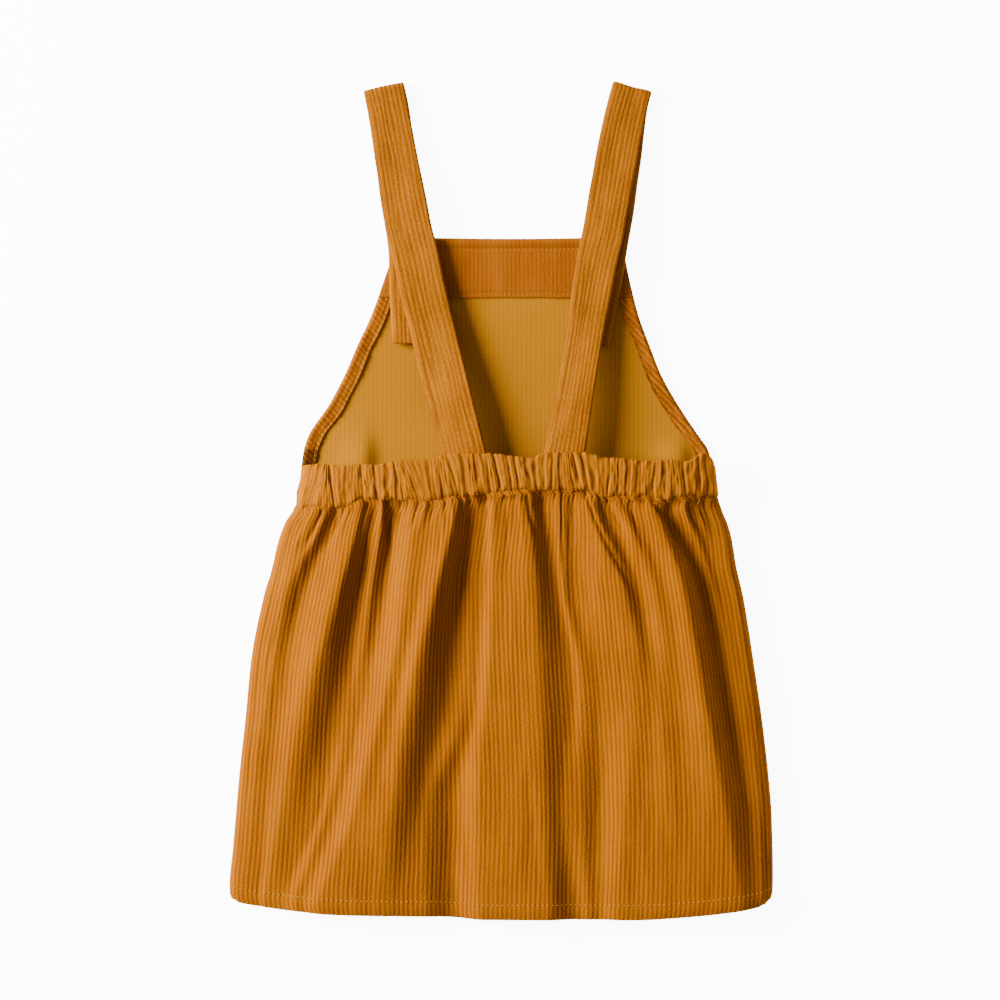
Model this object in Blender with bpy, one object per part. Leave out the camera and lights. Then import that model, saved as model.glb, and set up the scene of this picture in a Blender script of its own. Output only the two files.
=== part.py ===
"""Child's corduroy pinafore dress, laid flat with its back up.

The shoulder straps point along +Y, the hem along -Y and the back faces +Z. The front panel rests
on the ground, and the gathered back skirt stands over it in soft folds. Every length in the tables
is in millimetres, and the meshes are made in metres.
"""
import bpy
import bmesh
import math
import numpy as np

MM = 0.001

# ---- driving dimensions, mm ----
CLOTH = 1.6               # front panel and facings
BACK_CLOTH = 1.8          # gathered back skirt, pile included
HEM_DEPTH = 10.0          # turned-up hem
HEM_CLOTH = 3.0           # hem, two layers
SEAM_GAP = 0.3            # clearance between pieces
STRAP_THICK = 3.0         # strap, two layers
CASING_THICK = 3.2        # waist casing from its mean face to its plain inside
BUTTON_RADIUS = 8.0
BUTTON_THICK = 3.0
BUTTON_Y = 140.4
BUTTONS_X = (-55.2, 64.2)
BIB_LIFT = BUTTON_THICK + SEAM_GAP      # the bib's top lies on its buttons
LIFT_FROM_Y = 48.0
LIFT_TO_Y = 118.0
FACING_FOOT_Y = 121.8     # lower edge of the bib's top facing
ARM_FACING_WIDTH = 8.4
ARM_FACING_FOOT = (22.5, 30.0)   # lower ends of the left and right armhole facings

# ---- outlines, mm: (y, x) down each side ----
SKIRT_LEFT = ((12.0, -121.2), (3.0, -122.4), (-6.0, -124.2), (-15.0, -129.6), (-24.0, -133.2),
              (-42.0, -137.4), (-60.0, -142.2), (-96.0, -149.4), (-132.0, -153.0),
              (-168.0, -156.6), (-213.0, -160.8), (-228.0, -161.7), (-235.2, -160.8),
              (-240.6, -158.4))
SKIRT_RIGHT = ((12.0, 129.0), (3.0, 129.0), (-6.0, 131.4), (-15.0, 135.0), (-24.0, 137.4),
               (-42.0, 140.4), (-60.0, 144.6), (-96.0, 150.0), (-132.0, 156.0),
               (-168.0, 159.6), (-189.0, 161.2), (-231.0, 161.7), (-237.6, 160.9),
               (-241.8, 158.4))
BIB_LEFT = ((157.8, -61.8), (138.0, -68.4), (111.0, -78.0), (93.0, -86.4), (75.0, -94.2),
            (57.0, -103.8), (39.0, -115.8), (30.0, -118.8), (12.0, -121.2))
BIB_RIGHT = ((157.8, 72.6), (138.0, 76.2), (111.0, 82.8), (93.0, 89.4), (75.0, 96.6),
             (57.0, 106.8), (39.0, 118.8), (30.0, 124.8), (12.0, 129.0))

# ---- the hem and the waist casing, mm: (x, y) from left to right ----
HEM_MIDDLE_Y = -251.4
HEM_RISE = 10.2           # how much higher the hem ends at the sides
CASING_TOP = ((-120.6, 21.0), (-108.6, 21.6), (-96.0, 20.7), (-84.6, 21.6), (-75.0, 21.3),
              (-67.5, 22.6), (-54.0, 24.3), (-42.0, 24.3), (-36.0, 26.6), (-23.8, 27.9),
              (-8.4, 28.0), (5.4, 26.6), (19.0, 25.4), (25.2, 28.2), (50.0, 28.6), (55.0, 27.3),
              (60.0, 25.8), (77.0, 24.9), (85.0, 23.6), (94.0, 24.0), (102.0, 24.3),
              (111.0, 23.3), (115.0, 24.6), (119.4, 27.0), (124.0, 28.4), (129.0, 27.6))
CASING_FOOT = ((-123.0, -4.8), (-109.5, -4.6), (-100.9, -4.1), (-94.0, -3.1), (-88.0, -1.7),
               (-78.6, 0.9), (-67.5, 0.8), (-61.0, -0.8), (-49.5, -1.0), (-40.9, -0.8),
               (-32.3, 1.6), (-18.0, 3.4), (0.0, 5.0), (25.0, 5.5), (50.0, 6.2), (55.0, 4.4),
               (61.0, 2.8), (70.5, 2.0), (85.0, 2.4), (93.7, 0.8), (102.0, 1.6), (119.4, 2.8),
               (129.6, 2.4))
# height of the casing's outer face: (x, z)
CASING_HEIGHT = ((-115.2, 14.0), (-105.6, 17.5), (-84.6, 19.5), (-48.6, 21.0), (0.0, 22.0),
                 (47.4, 21.5), (89.4, 20.5), (113.4, 17.5), (124.2, 13.0))
# grooves of the elasticated gathers: (x at the top edge, x at the stitched foot, depth)
GATHERS = ((-113.4, -115.8, 0.8), (-108.6, -112.2, 0.7), (-103.8, -97.2, 1.2), (-92.4, -90.6, 0.9),
           (-84.0, -81.0, 1.2), (-77.4, -73.2, 1.0), (-67.8, -67.8, 0.9), (-63.0, -61.2, 0.6),
           (-58.2, -48.6, 1.3), (-50.4, -43.8, 0.8), (-43.2, -40.2, 0.7), (-37.8, -34.8, 0.7),
           (-33.0, -25.8, 1.2), (-22.8, -20.4, 1.6), (-15.6, -11.4, 1.0), (-9.6, -6.6, 0.7),
           (-4.8, 0.0, 1.1), (3.6, 6.6, 0.6), (8.4, 11.4, 0.6), (13.8, 19.2, 1.2),
           (20.4, 22.2, 1.6), (25.2, 25.8, 0.8), (30.6, 30.6, 0.7), (36.0, 36.0, 0.8),
           (42.0, 47.4, 0.9), (47.4, 52.2, 1.3), (54.0, 55.8, 0.8), (60.0, 60.6, 1.1),
           (64.8, 63.0, 0.8), (70.8, 70.8, 0.7), (76.2, 74.4, 1.0), (83.4, 82.2, 0.9),
           (91.8, 90.6, 1.5), (97.8, 96.0, 0.9), (103.2, 103.8, 0.8), (109.2, 109.8, 1.3),
           (114.0, 112.8, 0.7), (118.2, 117.6, 0.7), (123.0, 123.0, 0.9))
GATHER_WIDTH = 1.5        # half width of a groove
CASING_PUFF = 1.4         # how far the casing swells between its top edge and its stitched foot
WAIST_MIDDLE_X = 4.2
FLARE_FROM = 70.0         # the casing's ends lean outwards beyond this distance from its middle
FLARE_OVER = 54.0
FLARE_LEFT = (1.4, -3.2)  # sideways shift of the left end at the casing's top and foot
FLARE_RIGHT = (-0.4, 0.3)
WAIST_BLEND = 13.0        # the skirt's folds open over this length below the casing

# ---- folds of the back skirt, mm ----
# Each column of numbers is taken at one of these heights down the skirt.
FOLD_LEVELS = (-3.0, -51.0, -114.0, -186.0, -243.0)
# name, x of the crest line, height of the crest, drop to the valley on its right, width of the drop
FOLDS = (
    ("side_left", (-107.4, -128.4, -139.8, -148.2, -150.6), (17.0, 15.5, 14.0, 12.5, 11.5),
     (3.5, 3.0, 0.4, 0.0, 0.0), (7.8, 9.6, 7.2, 6.0, 6.0)),
    ("second_left", (-84.0, -98.4, -115.5, -138.0, -142.0), (19.5, 20.5, 19.5, 15.5, 13.2),
     (5.0, 10.0, 7.6, 3.0, 0.0), (8.4, 13.2, 22.0, 27.0, 10.0)),
    ("waist_tuck", (-71.4, -78.0, -87.0, -107.4, -123.0), (19.0, 14.5, 12.5, 14.0, 16.0),
     (5.0, 3.0, 0.0, 0.0, 0.0), (6.6, 7.2, 4.8, 3.6, 3.6)),
    ("roll_rise", (-49.8, -55.2, -67.8, -89.4, -109.8), (20.0, 20.0, 20.5, 20.5, 19.5),
     (0.0, 0.0, 0.0, 0.0, 0.0), (6.0, 4.8, 4.8, 6.0, 9.6)),
    ("roll_fall", (-27.0, -37.2, -53.4, -69.0, -80.0), (22.5, 23.5, 23.5, 22.0, 19.5),
     (8.0, 13.0, 12.0, 9.5, 3.2), (10.2, 18.0, 24.0, 29.0, 20.0)),
    ("hem_wave", (-13.8, -15.6, -21.0, -31.0, -54.0), (16.0, 12.5, 13.3, 13.3, 17.0),
     (0.0, 0.0, 0.0, 0.2, 5.0), (2.4, 3.0, 4.8, 6.0, 22.0)),
    ("middle_rise", (-5.4, -4.2, -7.8, -12.6, -11.4), (20.0, 17.0, 16.5, 16.5, 16.5),
     (0.0, 0.0, 0.0, 0.0, 0.0), (4.8, 4.8, 4.8, 4.8, 4.8)),
    ("middle_fall", (15.6, 19.2, 21.6, 24.5, 29.0), (22.0, 19.0, 18.0, 17.5, 17.5),
     (6.5, 7.0, 5.6, 5.0, 6.0), (8.4, 14.0, 22.0, 26.0, 18.0)),
    ("trough_ridge", (36.0, 37.2, 49.0, 56.0, 54.0), (19.5, 14.5, 13.6, 13.2, 12.5),
     (1.8, 1.6, 0.4, 0.2, 0.5), (6.0, 6.0, 8.4, 8.0, 4.8)),
    ("slant_fold", (53.4, 72.6, 83.4, 74.4, 72.6), (21.0, 19.0, 17.0, 16.5, 16.5),
     (4.5, 4.0, 0.2, 0.0, 0.0), (8.4, 9.6, 7.2, 6.0, 6.0)),
    ("right_pucker", (72.6, 92.4, 101.4, 101.4, 98.4), (20.0, 18.5, 17.5, 17.5, 17.3),
     (2.0, 0.3, 0.0, 0.0, 0.0), (5.4, 4.8, 4.8, 4.8, 4.8)),
    ("right_fall", (92.4, 110.4, 123.0, 136.5, 144.5), (20.5, 21.5, 21.5, 20.0, 17.0),
     (7.0, 11.0, 11.0, 9.0, 4.0), (9.0, 13.2, 16.8, 17.0, 8.6)),
    ("side_right", (109.8, 127.2, 142.2, 153.6, 154.8), (17.5, 11.0, 10.8, 11.0, 12.5),
     (4.0, 0.5, 0.0, 0.0, 0.0), (6.6, 3.0, 1.8, 1.2, 0.9)),
)
# the cloth rolls down to the side seams over a rounded shoulder: width, left and right heights
SHOULDER_WIDTH = (5.0, 5.0, 4.8, 4.6, 4.2)
SHOULDER_LEFT = (13.0, 12.0, 11.5, 11.0, 10.5)
SHOULDER_RIGHT = (12.0, 11.0, 10.6, 9.8, 9.5)

# ---- straps, mm ----
# back run, centre line from the shoulder fold down to the waist: (x, y, width)
BACK_RUN_LEFT = ((-70.2, 245.9, 24.2), (-68.4, 237.0, 24.2), (-64.2, 213.0, 25.0),
                 (-59.4, 186.0, 26.0), (-55.8, 165.0, 26.7), (-51.6, 148.2, 26.7),
                 (-46.5, 125.4, 26.7), (-39.0, 94.2, 26.7), (-22.8, 27.0, 26.7),
                 (-20.1, 15.6, 26.7))
BACK_RUN_RIGHT = ((78.3, 245.9, 24.2), (75.9, 237.0, 24.2), (71.1, 216.0, 24.0),
                  (65.7, 186.0, 24.0), (61.5, 162.0, 23.8), (57.6, 144.0, 23.0),
                  (53.4, 120.0, 22.0), (49.5, 94.2, 21.5), (43.8, 60.0, 22.0),
                  (38.4, 30.0, 23.8), (36.0, 15.6, 24.0))
# front run, centre line from the shoulder fold down to the loose tail behind the bib
FRONT_RUN_LEFT = ((-70.2, 245.9, 24.2), (-68.4, 237.0, 24.2), (-62.4, 198.0, 24.2),
                  (-55.5, 150.0, 24.2), (-52.8, 94.2, 24.2))
FRONT_RUN_RIGHT = ((78.3, 245.9, 24.2), (76.2, 237.0, 24.2), (70.5, 198.0, 24.2),
                   (63.3, 150.0, 24.2), (52.2, 94.2, 24.2))
# height of a run's middle layer: (y, z)
BACK_RUN_HEIGHT = ((15.6, 16.1), (27.0, 16.1), (94.2, 14.6), (120.0, 13.8), (165.0, 12.3),
                   (204.0, 7.7), (245.9, 4.8))
FRONT_RUN_HEIGHT = ((94.2, 8.6), (165.0, 8.6), (204.0, 3.5), (237.0, 1.5), (245.9, 1.5))

# ---- mesh resolution ----
SKIRT_COLUMNS = 84
SKIRT_ROWS = 19
CASING_COLUMNS = 160
CASING_ROWS = 4
RUN_STATIONS = 18
FOLD_STATIONS = 6
# a strap's section, in half widths and half thicknesses: flat faces and softly rounded edges
STRAP_SECTION = ((-1.0, -0.5), (-0.94, -1.0), (0.0, -1.0), (0.94, -1.0), (1.0, -0.5),
                 (1.0, 0.5), (0.94, 1.0), (0.0, 1.0), (-0.94, 1.0), (-1.0, 0.5))


def through(x, knots):
    """Read the smooth curve through the knots (x, value) at x; it never overshoots a knot."""
    table = np.asarray(knots, dtype=float)
    table = table[np.argsort(table[:, 0])]
    xs, ys = table[:, 0], table[:, 1]
    steps = np.diff(xs)
    slopes = np.diff(ys) / steps
    tangents = np.zeros(len(xs))
    tangents[0], tangents[-1] = slopes[0], slopes[-1]
    for i in range(1, len(xs) - 1):
        if slopes[i - 1] * slopes[i] > 0:
            tangents[i] = 2 * slopes[i - 1] * slopes[i] / (slopes[i - 1] + slopes[i])
    x = np.clip(np.asarray(x, dtype=float), xs[0], xs[-1])
    i = np.clip(np.searchsorted(xs, x) - 1, 0, len(xs) - 2)
    t = (x - xs[i]) / steps[i]
    start = (1 + 2 * t) * (1 - t) ** 2 * ys[i] + t * (1 - t) ** 2 * steps[i] * tangents[i]
    end = t * t * (3 - 2 * t) * ys[i + 1] + t * t * (t - 1) * steps[i] * tangents[i + 1]
    return start + end


def at_level(y, values):
    """Read one row of a fold table at height y down the skirt."""
    return float(through(y, tuple(zip(FOLD_LEVELS, values))))


def cloth_material(name, colour, roughness):
    """Make a matt cloth material."""
    material = bpy.data.materials.new(name)
    material.use_nodes = True
    shader = material.node_tree.nodes["Principled BSDF"]
    shader.inputs["Base Color"].default_value = (*colour, 1.0)
    shader.inputs["Roughness"].default_value = roughness
    shader.inputs["Metallic"].default_value = 0.0
    return material


def add_object(name, bm, material):
    """Turn a finished bmesh into a named object with its own material."""
    bmesh.ops.recalc_face_normals(bm, faces=bm.faces)
    mesh = bpy.data.meshes.new(name)
    bm.to_mesh(mesh)
    bm.free()
    mesh.materials.append(material)
    mesh.shade_smooth()
    mesh.set_sharp_from_angle(angle=math.radians(50))
    piece = bpy.data.objects.new(name, mesh)
    bpy.context.collection.objects.link(piece)
    return piece


def wall_between(name, upper, lower, material):
    """Close a wall between two sheets of points, each an array of (rows, columns, xyz) in mm."""
    bm = bmesh.new()
    rows, columns = upper.shape[:2]
    sheets = [[[bm.verts.new(point * MM) for point in row] for row in sheet]
              for sheet in (upper, lower)]
    for top, sheet in zip((True, False), sheets):
        for r in range(rows - 1):
            for c in range(columns - 1):
                corners = [sheet[r][c], sheet[r + 1][c], sheet[r + 1][c + 1], sheet[r][c + 1]]
                bm.faces.new(corners if top else corners[::-1])
    rim = [(0, c) for c in range(columns)] + [(r, columns - 1) for r in range(1, rows)]
    rim += [(rows - 1, c) for c in range(columns - 2, -1, -1)]
    rim += [(r, 0) for r in range(rows - 2, 0, -1)]
    for (r0, c0), (r1, c1) in zip(rim, rim[1:] + rim[:1]):
        bm.faces.new((sheets[0][r0][c0], sheets[0][r1][c1], sheets[1][r1][c1], sheets[1][r0][c0]))
    return add_object(name, bm, material)


def sheet_normals(sheet):
    """Unit normals of a sheet of points, on its upper side."""
    down = np.gradient(sheet, axis=0)
    across = np.gradient(sheet, axis=1)
    normals = np.cross(down, across)
    return normals / np.linalg.norm(normals, axis=2, keepdims=True)


def even_columns(x, z, count):
    """Share the columns evenly along the cloth of a section, so that they follow its cords."""
    length = np.concatenate(([0.0], np.cumsum(np.hypot(np.diff(x), np.diff(z)))))
    stops = np.linspace(0.0, length[-1], count)
    return np.interp(stops, length, x), np.interp(stops, length, z)


def hem_and_waist(x, down, left, right):
    """Height y at a share `down` of the way from the waist seam to the hem."""
    middle = (left + right) / 2
    across = (x - middle) / ((right - left) / 2)
    hem = HEM_MIDDLE_Y + HEM_RISE * np.abs(across) ** 4
    waist = through(x, CASING_FOOT) - SEAM_GAP
    return waist + (hem - waist) * down


def casing_flare(x, down):
    """How far the casing's ends move sideways, as it widens from its top to its foot."""
    shift = np.where(x < WAIST_MIDDLE_X, FLARE_LEFT[0] + (FLARE_LEFT[1] - FLARE_LEFT[0]) * down,
                     FLARE_RIGHT[0] + (FLARE_RIGHT[1] - FLARE_RIGHT[0]) * down)
    return shift * np.clip((np.abs(x - WAIST_MIDDLE_X) - FLARE_FROM) / FLARE_OVER, 0, 1)


def casing_height(x):
    """Mean height of the waist casing's outer face, rolled down to the side seams."""
    left, right = CASING_TOP[0][0], CASING_TOP[-1][0]
    first, last = CASING_HEIGHT[0], CASING_HEIGHT[-1]
    base = CLOTH + SEAM_GAP
    z = through(x, CASING_HEIGHT)
    near_left = np.clip((x - left) / (first[0] - left), 0, 1)
    near_right = np.clip((right - x) / (right - last[0]), 0, 1)
    round_left = base + (first[1] - base) * np.sqrt(1 - (1 - near_left) ** 2)
    round_right = base + (last[1] - base) * np.sqrt(1 - (1 - near_right) ** 2)
    z = np.where(x < first[0], round_left, z)
    return np.where(x > last[0], round_right, z)


def waist_to_hem(x, hem_y, down):
    """Height `down` of the way from the casing's foot at x to the hem at hem_y."""
    waist_y = float(through(x, CASING_FOOT))
    return waist_y + (hem_y - waist_y) * down


def skirt_section(down):
    """Section of the back skirt's outer face, `down` of the way to the hem, as dense x and z.

    It leaves the casing's foot smoothly, and its folds open a little further down.
    """
    y = waist_to_hem(0.0, HEM_MIDDLE_Y, down)
    hem_side_y = HEM_MIDDLE_Y + HEM_RISE
    left = float(through(waist_to_hem(CASING_FOOT[0][0], hem_side_y, down), SKIRT_LEFT))
    right = float(through(waist_to_hem(CASING_FOOT[-1][0], hem_side_y, down), SKIRT_RIGHT))
    base = CLOTH + SEAM_GAP
    shoulder = at_level(y, SHOULDER_WIDTH)
    height_left, height_right = at_level(y, SHOULDER_LEFT), at_level(y, SHOULDER_RIGHT)
    knots = [(left + shoulder, height_left)]
    for _, crest_x, crest_z, drop, width in FOLDS:
        x, z = at_level(y, crest_x), at_level(y, crest_z)
        knots.append((x, z))
        knots.append((x + at_level(y, width), z - at_level(y, drop)))
    knots.append((right - shoulder, height_right))
    x = np.linspace(left + shoulder, right - shoulder, 900)
    z = through(x, knots)
    turn = np.linspace(0.0, math.pi / 2, 24)[:-1]
    side_left = (left + shoulder * (1 - np.cos(turn)), base + (height_left - base) * np.sin(turn))
    side_right = (right - shoulder * (1 - np.cos(turn[::-1])),
                  base + (height_right - base) * np.sin(turn[::-1]))
    x = np.concatenate((side_left[0], x, side_right[0]))
    z = np.concatenate((side_left[1], z, side_right[1]))
    gathered = max(0.0, 1 - (through(0.0, CASING_FOOT) - y) / WAIST_BLEND) ** 2
    return x, z + gathered * (casing_height(x - casing_flare(x, 1.0)) - z)


def back_skirt(material):
    """Gathered back skirt: a thin wall over its folds, doubled along the turned-up hem."""
    hem_share = HEM_DEPTH / (float(through(0.0, CASING_FOOT)) - HEM_MIDDLE_Y)
    shares = [(1 - hem_share) * (i / (SKIRT_ROWS - 3)) ** 1.3 for i in range(SKIRT_ROWS - 2)]
    shares += [1 - hem_share * 0.9, 1.0]
    upper = np.zeros((SKIRT_ROWS, SKIRT_COLUMNS, 3))
    for r, down in enumerate(shares):
        x, z = even_columns(*skirt_section(down), SKIRT_COLUMNS)
        upper[r, :, 0] = x
        upper[r, :, 1] = hem_and_waist(x, down, x[0], x[-1])
        upper[r, :, 2] = z
    thickness = np.full((SKIRT_ROWS, 1, 1), BACK_CLOTH)
    thickness[-2:] = HEM_CLOTH
    lower = upper - sheet_normals(upper) * thickness
    lower[(0, -1), :, 1] = upper[(0, -1), :, 1]       # the waist and hem edges stand upright
    lower[:, (0, -1), 2] = upper[:, (0, -1), 2]       # the side edges lie level
    lower[:, :, 2] = np.maximum(lower[:, :, 2], CLOTH + SEAM_GAP)
    return wall_between("back_skirt", upper, lower, material)


def back_casing(material):
    """Elasticated waist casing: gathers raised on its outer face over a plain inside."""
    x = np.linspace(CASING_TOP[0][0], CASING_TOP[-1][0], CASING_COLUMNS)
    upper = np.zeros((CASING_ROWS + 1, CASING_COLUMNS, 3))
    lower = np.zeros_like(upper)
    for r in range(CASING_ROWS + 1):
        down = r / CASING_ROWS
        groove = np.zeros_like(x)
        for x_top, x_foot, depth in GATHERS:
            distance = (x - (x_top + (x_foot - x_top) * down)) / GATHER_WIDTH
            groove = np.maximum(groove, depth * np.exp(-distance ** 2))
        puff = CASING_PUFF * math.sin(math.pi * (0.12 + 0.82 * down))
        mean = casing_height(x)
        fade = np.clip((mean - CLOTH - SEAM_GAP) / 8.0, 0, 1)
        y = through(x, CASING_TOP) * (1 - down) + through(x, CASING_FOOT) * down
        placed_x = x + casing_flare(x, down)
        upper[r] = np.stack((placed_x, y, mean + fade * (puff - groove)), axis=1)
        inner_x = np.linspace(x[0] + 1.2, x[-1] - 1.2, CASING_COLUMNS)
        inner_z = np.maximum(casing_height(inner_x) - CASING_THICK, CLOTH + SEAM_GAP)
        inner_y = through(inner_x, CASING_TOP) * (1 - down) + through(inner_x, CASING_FOOT) * down
        placed_x = inner_x + casing_flare(inner_x, down)
        lower[r] = np.stack((placed_x, inner_y, inner_z), axis=1)
    return wall_between("back_casing", upper, lower, material)


def bib_lift(y):
    """How far the bib's underside is raised by the buttons below it."""
    t = np.clip((y - LIFT_FROM_Y) / (LIFT_TO_Y - LIFT_FROM_Y), 0, 1)
    return BIB_LIFT * t * t * (3 - 2 * t)


def bib_edges(y):
    """Left and right edge of the bib at height y."""
    return float(through(y, BIB_LEFT)), float(through(y, BIB_RIGHT))


def flat_rows(rows, columns, base):
    """Sheet of points across (y, left, right) rows, standing `base` above the lifted bib."""
    sheet = np.zeros((len(rows), columns, 3))
    for r, (y, left, right) in enumerate(rows):
        x = np.linspace(left, right, columns)
        sheet[r] = np.stack((x, np.full(columns, y), base + bib_lift(np.full(columns, y))), axis=1)
    return sheet


def front_panel(material):
    """Front skirt and bib, cut in one, flat on the ground below the waist."""
    inset = 0.4
    rows = [(y, *bib_edges(y)) for y in np.linspace(BIB_LEFT[0][0], 12.0, 22)]
    for y in np.linspace(6.0, -241.0, 24):
        rows.append((y, float(through(y, SKIRT_LEFT)) + inset,
                     float(through(y, SKIRT_RIGHT)) - inset))
    lower = flat_rows(rows, 13, 0.0)
    across = np.linspace(-1, 1, 13)
    lower[-1, :, 1] = HEM_MIDDLE_Y + 1.6 + (HEM_RISE - 0.6) * np.abs(across) ** 4
    lower[0, :, 1] += 1.2 * (across ** 2 - 1)
    upper = lower + np.array((0.0, 0.0, CLOTH))
    return wall_between("front_panel", upper, lower, material)


def bib_facing(material):
    """Top facing, turned to the inside of the bib and stitched along its foot."""
    top = BIB_LEFT[0][0] - 1.6
    rows = []
    for y in np.linspace(top, FACING_FOOT_Y, 7):
        left, right = bib_edges(y)
        rows.append((y, left + 0.5, right - 0.5))
    base = CLOTH + SEAM_GAP
    lower = flat_rows(rows, 9, base)
    return wall_between("bib_facing", lower + np.array((0.0, 0.0, CLOTH)), lower, material)


def armhole_facing(name, side, foot_y, material):
    """Narrow facing along one slanted side of the bib."""
    rows = []
    for y in np.linspace(FACING_FOOT_Y - SEAM_GAP, foot_y, 14):
        edge = bib_edges(y)[side]
        nearby = bib_edges(y - 3.0)[side]
        slant = math.hypot(3.0, nearby - edge) / 3.0
        reach = ARM_FACING_WIDTH * min(slant, 1.3)
        edges = (edge + 0.5, edge + reach) if side == 0 else (edge - reach, edge - 0.5)
        rows.append((y, *edges))
    lower = flat_rows(rows, 4, CLOTH + SEAM_GAP)
    return wall_between(name, lower + np.array((0.0, 0.0, CLOTH)), lower, material)


def run_frames(run, heights, count):
    """Stations down a strap's run: middle point, half-width vector and upward normal."""
    table = np.asarray(run, dtype=float)
    y = np.linspace(table[0, 1], table[-1, 1], count)
    x = through(y, table[:, (1, 0)])
    width = through(y, table[:, (1, 2)])
    middle = np.stack((x, y, through(y, heights)), axis=1)
    along = np.gradient(middle, axis=0)
    along /= np.linalg.norm(along, axis=1, keepdims=True)
    across = np.stack((-along[:, 1], along[:, 0], np.zeros(count)), axis=1)
    across /= np.linalg.norm(across, axis=1, keepdims=True)
    return middle, across * width[:, None] / 2, np.cross(along, across)


def strap(name, back_run, front_run, material):
    """Double-layer strap: front run up from its tail, a fold at the shoulder, back run down."""
    front = run_frames(front_run, FRONT_RUN_HEIGHT, RUN_STATIONS)
    back = run_frames(back_run, BACK_RUN_HEIGHT, RUN_STATIONS)
    stations = [(middle, across, -normal) for middle, across, normal in zip(*front)][::-1]
    centre = (front[0][0] + back[0][0]) / 2
    across = back[1][0]
    reach = np.cross((0, 0, 1), across)
    reach /= np.linalg.norm(reach)
    radius = (back[0][0][2] - front[0][0][2]) / 2
    for k in range(1, FOLD_STATIONS):
        angle = math.pi * k / FOLD_STATIONS
        outward = math.sin(angle) * reach - math.cos(angle) * np.array((0.0, 0.0, 1.0))
        stations.append((centre + outward * radius, across, outward))
    stations += list(zip(*back))
    bm = bmesh.new()
    half = STRAP_THICK / 2
    rings = [[bm.verts.new((middle + across * u + outward * half * w) * MM)
              for u, w in STRAP_SECTION] for middle, across, outward in stations]
    for near, far in zip(rings, rings[1:]):
        for i in range(len(STRAP_SECTION)):
            j = (i + 1) % len(STRAP_SECTION)
            bm.faces.new((near[i], near[j], far[j], far[i]))
    bm.faces.new(rings[0][::-1])
    bm.faces.new(rings[-1])
    return add_object(name, bm, material)


def button(name, x, material):
    """Round button on the bib's outer face, under the strap end that it holds."""
    bm = bmesh.new()
    bmesh.ops.create_cone(bm, cap_ends=True, segments=28, radius1=BUTTON_RADIUS * MM,
                          radius2=BUTTON_RADIUS * MM, depth=BUTTON_THICK * MM)
    rim = [edge for edge in bm.edges if abs(edge.verts[0].co.z - edge.verts[1].co.z) < 1e-9]
    bmesh.ops.bevel(bm, geom=rim, offset=0.7 * MM, segments=2, profile=0.5, affect="EDGES",
                    material=-1)
    piece = add_object(name, bm, material)
    piece.location = (x * MM, BUTTON_Y * MM, BUTTON_THICK * MM / 2)
    return piece


for old in list(bpy.data.objects):
    bpy.data.objects.remove(old, do_unlink=True)

corduroy_front = cloth_material("corduroy_front", (0.55, 0.20, 0.025), 0.9)
corduroy_skirt = cloth_material("corduroy_skirt", (0.55, 0.19, 0.022), 0.9)
corduroy_casing = cloth_material("corduroy_casing", (0.50, 0.18, 0.022), 0.9)
corduroy_facing = cloth_material("corduroy_facing", (0.47, 0.16, 0.018), 0.9)
corduroy_strap = cloth_material("corduroy_strap", (0.53, 0.19, 0.024), 0.9)
button_resin = cloth_material("button_resin", (0.20, 0.10, 0.04), 0.4)

front_panel(corduroy_front)
back_skirt(corduroy_skirt)
back_casing(corduroy_casing)
bib_facing(corduroy_facing)
armhole_facing("armhole_facing_left", 0, ARM_FACING_FOOT[0], corduroy_facing)
armhole_facing("armhole_facing_right", 1, ARM_FACING_FOOT[1], corduroy_facing)
strap("strap_left", BACK_RUN_LEFT, FRONT_RUN_LEFT, corduroy_strap)
strap("strap_right", BACK_RUN_RIGHT, FRONT_RUN_RIGHT, corduroy_strap)
for label, button_x in zip(("button_left", "button_right"), BUTTONS_X):
    button(label, button_x, button_resin)
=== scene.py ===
import math

import bmesh
import bpy
import numpy as np
from mathutils import Matrix, Vector


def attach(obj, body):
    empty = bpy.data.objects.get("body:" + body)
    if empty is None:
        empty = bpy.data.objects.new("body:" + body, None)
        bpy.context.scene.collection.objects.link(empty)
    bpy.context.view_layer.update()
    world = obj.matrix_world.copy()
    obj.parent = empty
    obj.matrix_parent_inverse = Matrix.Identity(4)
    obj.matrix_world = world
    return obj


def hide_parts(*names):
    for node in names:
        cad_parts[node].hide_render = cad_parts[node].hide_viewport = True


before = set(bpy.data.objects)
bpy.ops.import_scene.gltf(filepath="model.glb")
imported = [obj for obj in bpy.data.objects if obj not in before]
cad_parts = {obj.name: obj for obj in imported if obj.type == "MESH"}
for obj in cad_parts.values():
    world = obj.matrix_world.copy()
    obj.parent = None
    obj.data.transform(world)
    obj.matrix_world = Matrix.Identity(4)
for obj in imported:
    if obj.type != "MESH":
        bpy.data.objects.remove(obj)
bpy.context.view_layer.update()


# ---- Back skirt ----
# The gathered back of the skirt, cut from nine-cord corduroy. It hangs from the elasticated waist
# in soft folds that lie over the front, and ends in a turned-up, topstitched hem.
# It is one sheet that follows its folds, thickened, with its cords raised on the right side.

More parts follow.
